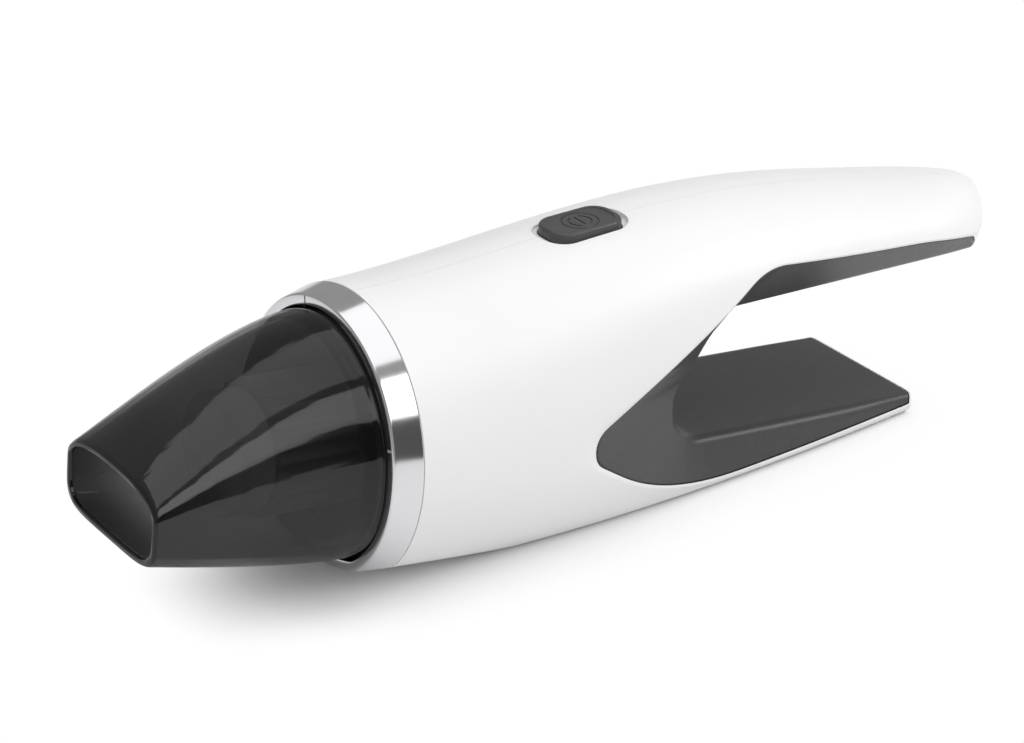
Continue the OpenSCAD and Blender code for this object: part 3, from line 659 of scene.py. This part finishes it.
# Grip liner: one dark grey moulding with a fine grain that lines the finger gap from flank to flank.
# It is what the thickened gap and the housing's inside share, less the gap itself and the air slots.
# A thin black strip in the same bed fills the seam between liner and shell; its black is painted shade that
# stands in for the shadow in the narrow gap there.
LINER_T = 2.2
SHADE_STRIP_W = 0.45
SHADE_STRIP_DEPTH = 0.35
SLOTS = 6
SLOT_SPREAD = 40
SLOT_W = 3
SLOT_H = 16
SLOT_LOW = -6
SLOT_FROM = THROAT - 20
SLOT_TO = THROAT + 8
SLOT_CORNER = SLOT_W / 2.05
liner = finger_gap("liner", LINER_T)
# A black strip whose colour is painted shade for the narrow gap between liner and shell.
gap_shade_strip = finger_gap("gap_shade_strip", LINER_T)
cut(gap_shade_strip, lip, "INTERSECT")
liner_limit = skin("liner_limit", LIP + SHADE_STRIP_W, 0)
cut(liner, liner_limit, "INTERSECT", keep=True)
cut(gap_shade_strip, liner_limit)
cut(gap_shade_strip, finger_gap("shade_strip_top", SHADE_STRIP_DEPTH))
cut(liner, finger_air)
slots = []
for count in range(SLOTS):
    middle = SLOT_SPREAD * (count / (SLOTS - 1) - 0.5)
    slot_low = (SLOT_FROM, middle - SLOT_W / 2, SLOT_LOW)
    slot = box("slot", slot_low, (SLOT_TO, middle + SLOT_W / 2, SLOT_LOW + SLOT_H))
    bevel_edges(slot, SLOT_CORNER, 6, lambda a, b: abs(a.x - b.x) > 1)
    slots.append(slot)
cut(liner, joined("slots", slots))
settle(liner)
settle(gap_shade_strip)
grey_grip, tree, shader = look("grey_grip", {"Specular IOR Level": 0.45})
between(tree, speckle(tree, 900), (0.056, 0.056, 0.058), (0.074, 0.074, 0.076)).into(shader, "Base Color")
(speckle(tree, 240) * 0.1 + 0.3).into(shader, "Roughness")
raised(speckle(tree, 2600), 0.35, 0.0001).into(shader, "Normal")
liner.data.materials.append(grey_grip)
black_rubber, tree, shader = look("black_rubber", {"Specular IOR Level": 0.4})
between(tree, speckle(tree, 200), (0.012, 0.012, 0.012), (0.02, 0.02, 0.02)).into(shader, "Base Color")
(speckle(tree, 300) * 0.15 + 0.3).into(shader, "Roughness")
raised(speckle(tree, 1800), 0.1, 0.0001).into(shader, "Normal")
# The strip takes the black rubber finish; here its black is painted shade for the gap.
gap_shade_strip.data.materials.append(black_rubber)
liner = joined("grip_liner_lining", [liner, gap_shade_strip])
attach(liner, "housing")
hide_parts("grip_liner")

# Trim ring: a bright plated collar between dust cup and housing, with four small notches in its face.
# Its profile is spun round the suction axis and flattened under the belly, and the notches are cut.
RING_L = 9.2
RING_FRONT_R = 42.4
RING_BORE = 39.2
RING_FACE = 3.2
RING_BACK = 0.06
RING_SHOULDER = -0.45
RING_TAPER_L = 8.0
RING_TAPER = 2.3
RING_TAPER_STEPS = 24
RING_SPIGOT_R = 42.3
RING_SPIGOT_L = 6
RING_SPIGOT_FLOOR = 2.7
NOTCHES = (74, 164, 254, 344)
NOTCH_W = 0.8
NOTCH_DEPTH = 0.7
NOTCH_EDGE = 0.4


def lathe(name, profile, steps, flatten=None):
    """A closed profile of (x, radius) points spun round X, its underside held above the belly if asked."""
    bpy.ops.object.select_all(action="DESELECT")
    bpy.ops.mesh.primitive_circle_add(vertices=len(profile), fill_type="NOTHING")
    piece = bpy.context.object
    piece.name = name
    for point, place in zip(piece.data.vertices, profile):
        point.co = (place[0], 0, place[1])
    bpy.ops.object.mode_set(mode="EDIT")
    bpy.ops.mesh.select_all(action="SELECT")
    bpy.ops.mesh.spin(steps=steps, angle=2 * math.pi, center=(0, 0, 0), axis=(1, 0, 0))
    bpy.ops.mesh.select_all(action="SELECT")
    bpy.ops.mesh.remove_doubles(threshold=0.001)
    bpy.ops.mesh.normals_make_consistent(inside=False)
    bpy.ops.object.mode_set(mode="OBJECT")
    if flatten:
        for point in piece.data.vertices:
            point.co.z = max(point.co.z, belly_z(point.co.x, point.co.y) + flatten(point.co))
    return piece


shares = [step / RING_TAPER_STEPS for step in range(1, RING_TAPER_STEPS + 1)]
taper = [(RING_SHOULDER - RING_TAPER_L * share, COLLAR_R - RING_TAPER * share) for share in shares]
ring_profile = [
    (-1, RING_BORE), (RING_SPIGOT_L, RING_BORE), (RING_SPIGOT_L, RING_SPIGOT_R), (RING_BACK, RING_SPIGOT_R),
    (RING_BACK, COLLAR_R - 0.5), (-0.1, COLLAR_R - 0.15), (RING_SHOULDER, COLLAR_R), *taper,
    (-8.8, RING_FRONT_R + 0.12), (-9.05, RING_FRONT_R - 0.12), (-RING_L, RING_FRONT_R - 0.5),
    (-RING_L, RING_BORE + 0.45), (-9.05, RING_BORE + 0.12), (-8.75, RING_BORE),
]


def ring_floor(point):
    """How far above the belly the ring's underside lies, from its outside to its bore."""
    radius = math.hypot(point.y, point.z)
    outside = RING_SPIGOT_R
    if point.x <= 0:
        outside = RING_FRONT_R + (COLLAR_R - RING_FRONT_R) * (point.x / RING_L + 1)
    base = RING_SPIGOT_FLOOR if point.x > RING_BACK / 2 else 0
    return base + (RING_FACE - base) * limit((outside - radius) / (outside - RING_BORE))


ring = lathe("trim_ring_bright", ring_profile, 256, ring_floor)
notch_tools = []
for angle in NOTCHES:
    notch_low = (-RING_L - 1, -NOTCH_W / 2, RING_BORE + NOTCH_EDGE)
    notch = box("notch", notch_low, (-RING_L + NOTCH_DEPTH, NOTCH_W / 2, RING_FRONT_R - NOTCH_EDGE))
    notch.rotation_euler = (-math.radians(90 - angle), 0, 0)
    pick(notch)
    bpy.ops.object.transform_apply(location=True, rotation=True, scale=True)
    notch_tools.append(notch)
cut(ring, joined("notches", notch_tools))
settle(ring, 30)
bright_trim, tree, shader = look("bright_trim", {"Metallic": 1.0})
between(tree, speckle(tree, 60), (0.78, 0.78, 0.8), (0.84, 0.84, 0.85)).into(shader, "Base Color")
(speckle(tree, 90, 3) * 0.06 + 0.09).into(shader, "Roughness")
ring.data.materials.append(bright_trim)
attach(ring, "housing")
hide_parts("trim_ring")

# Dust cup: one clear smoked moulding, 2 mm thick, that dips to a flat wide mouth.
# A tube shaped by the cup's formula is hollowed by a smaller one, its rims rounded by rows drawn inwards,
# and the spigot that enters the seal is joined on.
CUP_BASE = -RING_L
CUP_L = 68.5
CUP_R = 38.6
CUP_DEPTH = 35.356
MOUTH_HALF = 27
MOUTH_TOP = 4.2
MOUTH_DEPTH = 20.6
MOUTH_SPRING = -5
TOP_BOW = 1.55
TOP_SQUARE_GAIN = 0.4
UNDER_SQUARE = 2.3
UNDER_SQUARE_GAIN = 2.7
CUP_WALL = 2
CUP_QUARTER = 40
CUP_ROWS = 60
RIM_L = 0.9
BASE_BAND = 2.6
SPIGOT_IN = 2.4
SPIGOT_T = 1.6
SPIGOT_L = 6
SMOKE = 0.61
SMOKE_EDGE = 0.06
MOUTH_SHADE = 0.24
MOUTH_SHADE_START = -0.152
MOUTH_SHADE_END = -0.186


def cup_half(x, inset, step):
    """A point of half the cup's outline, counted from its top round to its underside."""
    share = limit((CUP_BASE - x) / CUP_L)
    wide = CUP_R + (MOUTH_HALF - CUP_R) * share - inset
    spring = MOUTH_SPRING * share
    if step <= CUP_QUARTER:
        power = 2 / (2 + TOP_SQUARE_GAIN * share)
        turn = math.pi / 2 * (1 - step / CUP_QUARTER)
        tall = CUP_R + (MOUTH_TOP - CUP_R) * share ** TOP_BOW - spring - inset
        return wide * abs(math.cos(turn)) ** power, spring + tall * abs(math.sin(turn)) ** power
    power = 2 / (UNDER_SQUARE + UNDER_SQUARE_GAIN * share)
    turn = math.pi / 2 * (step / CUP_QUARTER - 1)
    tall = CUP_DEPTH + (MOUTH_DEPTH - CUP_DEPTH) * share + spring - inset
    return wide * abs(math.cos(turn)) ** power, spring - tall * abs(math.sin(turn)) ** power


def cup_tube(name, rows):
    """A tube through a list of (x, place along the cup, inset) rows of the cup's form."""
    around = 4 * CUP_QUARTER

    def formula(ring, spoke):
        at, x, inset = rows[ring]
        place = (spoke + CUP_QUARTER) % around
        y, z = cup_half(x, inset, min(place, around - place))
        return at, y if place <= 2 * CUP_QUARTER else -y, z

    tube = blank_tube(name, around, len(rows) - 1)
    shape_tube(tube, around, len(rows) - 1, formula)
    return tube


MOUTH = CUP_BASE - CUP_L
spots = [MOUTH + CUP_L * step / CUP_ROWS for step in range(CUP_ROWS + 1)]
outside_rows = [(MOUTH, MOUTH, 0.5), (MOUTH + 0.15, MOUTH, 0.2), (MOUTH + 0.4, MOUTH, 0.05)]
outside_rows += [(MOUTH + RIM_L, MOUTH + RIM_L, 0)] + [(x, x, 0) for x in spots[2:-2]]
outside_rows += [(CUP_BASE - BASE_BAND, CUP_BASE - BASE_BAND, 0)]
outside_rows += [(CUP_BASE - 0.1, CUP_BASE, 0.05), (CUP_BASE, CUP_BASE, 0.2)]
inside_rows = [(MOUTH - 1, MOUTH, 1.4), (MOUTH, MOUTH, 1.6), (MOUTH + 0.2, MOUTH, 1.85)]
inside_rows += [(MOUTH + RIM_L, MOUTH, CUP_WALL)]
inside_rows += [(x, x, CUP_WALL) for x in spots[1:]] + [(CUP_BASE + 1, CUP_BASE, CUP_WALL)]
cup = cup_tube("dust_cup_clear", outside_rows)
cut(cup, cup_tube("cup_hollow", inside_rows))
spigot_rows = [(CUP_BASE + side * SPIGOT_L, CUP_BASE, SPIGOT_IN) for side in (-1, 1)]
bore_rows = [(CUP_BASE + side * (SPIGOT_L + 1), CUP_BASE, SPIGOT_IN + SPIGOT_T) for side in (-1, 1)]
spigot = cup_tube("spigot", spigot_rows)
cut(spigot, cup_tube("spigot_bore", bore_rows))
cut(cup, spigot, "UNION")
for face in cup.data.polygons:
    face.material_index = int(face.center.x < MOUTH + RIM_L or face.center.x > CUP_BASE - BASE_BAND)
settle(cup, 40)
smoked_cup, tree, shader = look("smoked_cup", {"IOR": 1.65})
between(tree, speckle(tree, 30), (0.003, 0.003, 0.0032), (0.005, 0.005, 0.0052)).into(shader, "Base Color")
(speckle(tree, 120, 3) * 0.05 + 0.05).into(shader, "Roughness")
place = Wire.node(tree, "ShaderNodeTexCoord", output="Object")
along = Wire.node(tree, "ShaderNodeSeparateXYZ", values={0: place})
smooth = {"interpolation_type": "SMOOTHSTEP"}
# Towards the mouth the cup grows more opaque; that extra darkness is painted shade for the mouth's inside.
mouth_shade = Wire.node(tree, "ShaderNodeMapRange", smooth, {"Value": along, 1: MOUTH_SHADE_START, 2: MOUTH_SHADE_END})
facing = Wire.node(tree, "ShaderNodeLayerWeight", values={"Blend": 0.4}, output="Facing")
(facing * SMOKE_EDGE + mouth_shade * MOUTH_SHADE + SMOKE).into(shader, "Alpha")
drawn = Wire.node(tree, "ShaderNodeVectorMath", {"operation": "MULTIPLY"}, {0: place, 1: (8, 160, 160)})
streak = Wire.node(tree, "ShaderNodeTexNoise", values={"Vector": drawn, "Scale": 1, "Detail": 2})
raised(streak, 0.25, 0.0008).into(shader, "Normal")
cup.data.materials.append(smoked_cup)
smoked_rim, tree, shader = look("smoked_rim", {"IOR": 1.5})
between(tree, speckle(tree, 60), (0.004, 0.004, 0.0042), (0.007, 0.007, 0.0072)).into(shader, "Base Color")
(speckle(tree, 120, 3) * 0.05 + 0.06).into(shader, "Roughness")
cup.data.materials.append(smoked_rim)
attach(cup, "cup")
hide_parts("dust_cup")

# Cup seal: a soft black sleeve between the cup's rim and the bulkhead, which the cup's spigot enters.
# A tube of the cup's outline with a bore, its front lip rounded.
SEAL_FRONT = CUP_BASE + SLACK
SEAL_BACK = 1
SEAL_IN = 0.3
SEAL_BORE_IN = 2
seal_rows = [(SEAL_FRONT, CUP_BASE, 0.7), (SEAL_FRONT + 0.2, CUP_BASE, 0.4)]
seal_rows += [(SEAL_FRONT + 0.5, CUP_BASE, SEAL_IN), (SEAL_BACK, CUP_BASE, SEAL_IN)]
seal = cup_tube("cup_seal_soft", seal_rows)
seal_bore_rows = [(SEAL_FRONT - 1, CUP_BASE, SEAL_BORE_IN), (SEAL_BACK + 1, CUP_BASE, SEAL_BORE_IN)]
cut(seal, cup_tube("seal_bore", seal_bore_rows))
settle(seal, 40)
seal.data.materials.append(black_rubber)
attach(seal, "housing")
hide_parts("cup_seal")

# Filter: a pleated cloth sleeve on a slotted core, closed by a pale dished cap that faces the mouth.
# The cap's profile is spun, and the pleats are a tube drawn in and out by turns and bored for the core.
MEDIA_X = -33.8
MEDIA_L = 32
MEDIA_ROWS = 4
PLEATS = 24
PLEAT_STEPS = 12
PLEAT_MEAN = 18.75
PLEAT_DEPTH = 2.2
PLEAT_ROUND = 1.35
CAP_R = 18.5
CAP_T = 11.5
CAP_FACE = 1.7
CORE_R = 12.5
CAP_FRONT = MEDIA_X - CAP_T
CAP_DISH = CAP_FRONT + 0.9
CAP_INSIDE = CAP_DISH + CAP_FACE
cap_profile = [
    (MEDIA_X, CORE_R + SEAT), (MEDIA_X, CAP_R - 0.3), (MEDIA_X - 0.3, CAP_R), (CAP_FRONT + 1.6, CAP_R),
    (CAP_FRONT + 0.8, CAP_R - 0.25), (CAP_FRONT + 0.25, CAP_R - 0.9), (CAP_FRONT, CAP_R - 1.8),
    (CAP_FRONT, CAP_R - 3), (CAP_FRONT + 0.5, CAP_R - 3.6), (CAP_FRONT + 0.8, CAP_R - 5),
    (CAP_DISH, CAP_R - 10), (CAP_DISH, 0.01), (CAP_INSIDE, 0.01), (CAP_INSIDE, CORE_R + SEAT),
]
cap = lathe("filter_cap_dished", cap_profile, 128)
settle(cap, 40)
cap_grey, tree, shader = look("cap_grey", {"Specular IOR Level": 0.4})
between(tree, speckle(tree, 400), (0.78, 0.78, 0.79), (0.86, 0.86, 0.87)).into(shader, "Base Color")
(speckle(tree, 160) * 0.15 + 0.38).into(shader, "Roughness")
raised(speckle(tree, 2200), 0.15, 0.0001).into(shader, "Normal")
cap.data.materials.append(cap_grey)
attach(cap, "filter")
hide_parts("filter_cap")


def pleat(ring, spoke):
    """A fold of the cloth, rounded at its ridges and valleys."""
    turn = 2 * math.pi * spoke / (PLEATS * PLEAT_STEPS)
    fold = PLEAT_DEPTH * math.sin(PLEAT_ROUND * math.sin(PLEATS * turn)) / math.sin(PLEAT_ROUND)
    radius = PLEAT_MEAN + fold
    x = MEDIA_X + SEAT + (MEDIA_L - 2 * SEAT) * ring / MEDIA_ROWS
    return x, radius * math.cos(turn), radius * math.sin(turn)


media = blank_tube("filter_media_pleats", PLEATS * PLEAT_STEPS, MEDIA_ROWS)
shape_tube(media, PLEATS * PLEAT_STEPS, MEDIA_ROWS, pleat)
cut(media, rod("core_bore", CORE_R + SEAT, MEDIA_X - 5, 5, "X", 96))
settle(media, 40)
filter_cloth, tree, shader = look("filter_cloth", {"Specular IOR Level": 0.2, "Sheen Weight": 0.2})
between(tree, speckle(tree, 1400, 4), (0.5, 0.5, 0.48), (0.66, 0.66, 0.64)).into(shader, "Base Color")
(speckle(tree, 500) * 0.1 + 0.8).into(shader, "Roughness")
raised(speckle(tree, 2400, 4), 0.5, 0.0002).into(shader, "Normal")
media.data.materials.append(filter_cloth)
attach(media, "filter")
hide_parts("filter_media")

# Power button: a dark grey moulded key with a soft edge, standing 1.6 mm proud in a shallow pocket.
# A block with rounded corners and edges on a flange, its top dished and the power mark cut into it.
BUTTON_PROUD = 1.6
BUTTON_SOFT = 1.1
FLANGE_Z = -4.4
FLANGE_W = 1.5
FLANGE_T = 1.2
TOP_INSET = 2.1
TOP_DISH = 0.35
DISH_SOFT = 0.3
MARK_R = 6
MARK_W = 0.4
POWER_R = 3.9
POWER_W = 0.6
POWER_GAP = 3
BAR_IN = 1
MARK_DEPTH = 0.3
MARK_TOP = 5
ABOVE = 9
button = rounded_block("power_button_key", BUTTON_L, BUTTON_W, BUTTON_R, FLANGE_Z, BUTTON_PROUD, 14)
bevel_edges(button, BUTTON_SOFT, 8, lambda a, b: min(a.z, b.z) > BUTTON_PROUD - 0.1)
flange_l = BUTTON_L + 2 * FLANGE_W
flange_w = BUTTON_W + 2 * FLANGE_W
flange_r = BUTTON_R + FLANGE_W
flange = rounded_block("flange", flange_l, flange_w, flange_r, FLANGE_Z - FLANGE_T, FLANGE_Z + 0.01, 10)
cut(button, flange, "UNION")
dish_l = BUTTON_L - 2 * TOP_INSET
dish_w = BUTTON_W - 2 * TOP_INSET
dish_z = BUTTON_PROUD - TOP_DISH
dish = rounded_block("dish", dish_l, dish_w, BUTTON_R - TOP_INSET, dish_z, ABOVE, 12)
bevel_edges(dish, DISH_SOFT, 4, lambda a, b: max(a.z, b.z) < BUTTON_PROUD)
cut(button, dish)
mark_z = dish_z - MARK_DEPTH
mark = rod("mark", POWER_R, mark_z, MARK_TOP, "Z", 64)
cut(mark, rod("mark_inside", POWER_R - POWER_W, -MARK_TOP, ABOVE, "Z", 64))
cut(mark, box("mark_gap", (-POWER_GAP / 2, -ABOVE, -MARK_TOP), (POWER_GAP / 2, ABOVE, ABOVE)))
bar_low = (-POWER_W / 2, -POWER_R + BAR_IN, mark_z)
cut(mark, box("mark_bar", bar_low, (POWER_W / 2, POWER_R - POWER_W, MARK_TOP)), "UNION")
halo = rod("halo", MARK_R, mark_z, MARK_TOP, "Z", 80)
cut(halo, rod("halo_inside", MARK_R - MARK_W, -MARK_TOP, ABOVE, "Z", 80))
cut(button, joined("power_mark", [mark, halo]))
at_button(button)
settle(button, 40)
button.data.materials.append(grey_grip)
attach(button, "button")
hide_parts("power_button")

# Charging socket: a folded plated sleeve round a flat tongue, set into the handle's end.
# A block with rounded corners, hollowed from its open end, and the tongue as a second block inside it.
SOCKET_L = 8
SOCKET_T = 0.5
SOCKET_CORNER = 1.5
TONGUE_T = 0.7
TONGUE_IN = 1.6
TONGUE_SHORT = 1


def socket_block(name, shrink, low, high, corner):
    """A rounded block on the socket's axis."""
    block = box(
        name,
        (low, -SOCKET_W / 2 + shrink, SOCKET_Z - SOCKET_H / 2 + shrink),
        (high, SOCKET_W / 2 - shrink, SOCKET_Z + SOCKET_H / 2 - shrink),
    )
    bevel_edges(block, corner, 6, lambda a, b: abs(a.x - b.x) > 1)
    return block


socket = socket_block("charge_socket_sleeve", 0, SOCKET_X, SOCKET_X + SOCKET_L, SOCKET_CORNER)
bore_front = SOCKET_X + 2 * SOCKET_T
bore = socket_block("socket_bore", SOCKET_T, bore_front, SOCKET_X + TOOL_REACH, SOCKET_CORNER - SOCKET_T)
cut(socket, bore)
tongue = box(
    "tongue",
    (SOCKET_X + SOCKET_T, -SOCKET_W / 2 + TONGUE_IN, SOCKET_Z - TONGUE_T / 2),
    (SOCKET_X + SOCKET_L - TONGUE_SHORT, SOCKET_W / 2 - TONGUE_IN, SOCKET_Z + TONGUE_T / 2),
)
cut(socket, tongue, "UNION")
settle(socket, 40)
steel, tree, shader = look("steel", {"Metallic": 1.0})
between(tree, speckle(tree, 150), (0.5, 0.5, 0.51), (0.6, 0.6, 0.61)).into(shader, "Base Color")
(speckle(tree, 600, 3) * 0.15 + 0.22).into(shader, "Roughness")
socket.data.materials.append(steel)
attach(socket, "housing")
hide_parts("charge_socket")

# Housing screws: four plated self-tapping screws that draw the right half onto the left one.
# Shank and rounded head are one bar each, with a cross recess sunk in the head.
HEAD_R = 2.8
HEAD_H = 1.8
HEAD_SOFT = 0.6
SHANK_R = 1.4
SHANK_L = 15
BLADE_HALF = 1.7
BLADE_W = 0.6
BLADE_LOW = HEAD_Y + 0.8
BLADE_HIGH = HEAD_Y + 4
screws = []
for x, z in SCREWS:
    head = rod("head", HEAD_R, HEAD_Y, HEAD_Y + HEAD_H, "Y", 40, (x, 0, z))
    bevel_edges(head, HEAD_SOFT, 4, lambda a, b: min(a.y, b.y) > HEAD_Y + HEAD_H / 2)
    cut(head, rod("shank", SHANK_R, HEAD_Y - SHANK_L, HEAD_Y + 0.1, "Y", 24, (x, 0, z)), "UNION")
    for across, up in ((BLADE_HALF, BLADE_W / 2), (BLADE_W / 2, BLADE_HALF)):
        cut(head, box("blade", (x - across, BLADE_LOW, z - up), (x + across, BLADE_HIGH, z + up)))
    screws.append(head)
fixings = joined("housing_screws_cross", screws)
settle(fixings, 40)
fixings.data.materials.append(steel)
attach(fixings, "housing")
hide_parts("housing_screws")

# Inner pieces: bulkhead, filter core, fan, motor, cells and boards keep the CAD's own form.
# Each takes the finish of its slot in the record.
dark_plastic, tree, shader = look("dark_plastic", {"Specular IOR Level": 0.4})
between(tree, speckle(tree, 400), (0.03, 0.03, 0.032), (0.045, 0.045, 0.047)).into(shader, "Base Color")
(speckle(tree, 160) * 0.15 + 0.38).into(shader, "Roughness")
raised(speckle(tree, 2200), 0.15, 0.0001).into(shader, "Normal")
pale_plastic, tree, shader = look("pale_plastic", {"Specular IOR Level": 0.4})
between(tree, speckle(tree, 300), (0.55, 0.55, 0.53), (0.62, 0.62, 0.6)).into(shader, "Base Color")
(speckle(tree, 120) * 0.15 + 0.4).into(shader, "Roughness")
copper, tree, shader = look("copper", {"Metallic": 1.0})
between(tree, speckle(tree, 500), (0.55, 0.28, 0.14), (0.68, 0.4, 0.24)).into(shader, "Base Color")
(speckle(tree, 300) * 0.2 + 0.25).into(shader, "Roughness")
magnet, tree, shader = look("magnet", {"Specular IOR Level": 0.4})
between(tree, speckle(tree, 800), (0.07, 0.07, 0.08), (0.11, 0.11, 0.12)).into(shader, "Base Color")
(speckle(tree, 400) * 0.2 + 0.5).into(shader, "Roughness")
foam, tree, shader = look("foam", {"Specular IOR Level": 0.1})
between(tree, speckle(tree, 1500, 4), (0.02, 0.02, 0.02), (0.08, 0.08, 0.08)).into(shader, "Base Color")
(speckle(tree, 700) * 0.1 + 0.85).into(shader, "Roughness")
circuit_board, tree, shader = look("circuit_board", {"Specular IOR Level": 0.5})
between(tree, speckle(tree, 350, 0), (0.02, 0.16, 0.07), (0.04, 0.28, 0.13)).into(shader, "Base Color")
(speckle(tree, 200) * 0.15 + 0.25).into(shader, "Roughness")
cell_sleeve, tree, shader = look("cell_sleeve", {"Specular IOR Level": 0.5})
between(tree, speckle(tree, 90), (0.04, 0.26, 0.32), (0.06, 0.33, 0.4)).into(shader, "Base Color")
(speckle(tree, 60) * 0.12 + 0.28).into(shader, "Roughness")
finishes = {
    "dark_plastic": dark_plastic, "pale_plastic": pale_plastic, "steel": steel, "copper": copper,
    "magnet": magnet, "foam": foam, "circuit_board": circuit_board, "cell_sleeve": cell_sleeve,
    "black_rubber": black_rubber,
}
for subpart in frame["record"]["subparts"]:
    node = frame["nodes"][subpart["node"]]
    if not node.hide_render:
        node.data.materials.clear()
        node.data.materials.append(finishes[subpart["material_slot"]])

# Studio: a pale floor and a white room that show white to the camera, with soft light from large panels.
# One dark flag that only reflections see gives the plated ring its dark bands.
ROOM_LIGHT = 0.49
ROOM_SEEN = 0.32
OPEN_REACH = 0.025
OPEN_LEAST = 0.05
FLOOR_Z = -0.0002
CAMERA_AT = (-0.5188, -0.6844, 0.4592)
CAMERA_TILT = math.radians(63.46)
CAMERA_TURN = math.radians(-34.50)
CAMERA_LENS = 105.47
world = bpy.data.worlds.new("studio")
world.use_nodes = True
bpy.context.scene.world = world
tree = world.node_tree
seen = Wire.node(tree, "ShaderNodeLightPath", output="Is Camera Ray")
seen_through = Wire.node(tree, "ShaderNodeLightPath", output="Is Transmission Ray")
mirrored = Wire.node(tree, "ShaderNodeLightPath", output="Is Glossy Ray")
strength = (seen + seen_through) * (1 - ROOM_LIGHT) + mirrored * (ROOM_SEEN - ROOM_LIGHT) + ROOM_LIGHT
tree.nodes["Background"].inputs["Color"].default_value = (1, 1, 1, 1)
strength.into(tree.nodes["Background"], "Strength")

bpy.ops.object.select_all(action="DESELECT")
bpy.ops.mesh.primitive_plane_add(size=6, location=(0, 0, FLOOR_Z))
floor = bpy.context.object
floor.name = "floor"
floor_look, tree, shader = look("floor", {"Roughness": 0.6, "Specular IOR Level": 0.2})
between(tree, speckle(tree, 3), (0.86, 0.86, 0.86), (0.87, 0.87, 0.87)).into(shader, "Base Color")
white = Wire.node(tree, "ShaderNodeEmission", values={"Color": (1, 1, 1, 1), "Strength": 1.0})
# Where ambient occlusion finds the object close, the floor's white glow gives way to its lit self: the
# contact shadow's reach is painted by this occlusion mask, while its darkness comes from the lamps.
open_sky = Wire.node(tree, "ShaderNodeAmbientOcclusion", {"samples": 12}, {"Distance": OPEN_REACH}, "AO")
clear = Wire.node(tree, "ShaderNodeMapRange", smooth, {"Value": open_sky, 1: OPEN_LEAST, 2: 1.0})
share = Wire.node(tree, "ShaderNodeLightPath", output="Is Camera Ray") * clear
lit = Wire(tree, shader.outputs[0])
mixed = Wire.node(tree, "ShaderNodeMixShader", values={0: share, 1: lit, 2: white})
mixed.into(tree.nodes["Material Output"], "Surface")
floor.data.materials.append(floor_look)


def panel(name, place, aim, wide, tall, power):
    """A rectangle of soft light that faces a point."""
    facing = (Vector(aim) - Vector(place)).to_track_quat("-Z", "Y").to_euler()
    bpy.ops.object.light_add(type="AREA", location=place, rotation=facing)
    lamp = bpy.context.object
    lamp.name = name
    lamp.data.shape = "RECTANGLE"
    lamp.data.size = wide
    lamp.data.size_y = tall
    lamp.data.energy = power


panel("front_box", (-0.06, -0.93, 0.92), (-0.1, 0, 0.04), 1.0, 0.68, 3.6)
panel("top_box", (0.2, 0.2, 1.35), (0.2, 0.2, 0), 1.9, 1.4, 7.2)
panel("side_strip", (0.82, -0.42, 0.84), (0.03, -0.02, 0.04), 0.56, 0.5, 3.8)

bpy.ops.object.select_all(action="DESELECT")
bpy.ops.mesh.primitive_plane_add(
    size=1, location=(-0.06, -1.3, 0.42), rotation=(math.pi / 2, 0, 0), scale=(2, 0.26, 1)
)
flag = bpy.context.object
flag.name = "dark_flag"
flag_look, tree, shader = look("dark_flag", {"Specular IOR Level": 0.0, "Roughness": 1.0})
between(tree, speckle(tree, 3), (0.1, 0.1, 0.1), (0.11, 0.11, 0.11)).into(shader, "Base Color")
flag.data.materials.append(flag_look)
flag.visible_camera = False
flag.visible_diffuse = False
flag.visible_shadow = False
flag.visible_transmission = False

bpy.ops.object.camera_add(location=CAMERA_AT, rotation=(CAMERA_TILT, 0, CAMERA_TURN))
camera = bpy.context.object
camera.data.lens = CAMERA_LENS
camera.data.sensor_width = 36
bpy.context.scene.camera = camera
bpy.context.scene.view_settings.view_transform = "Standard"
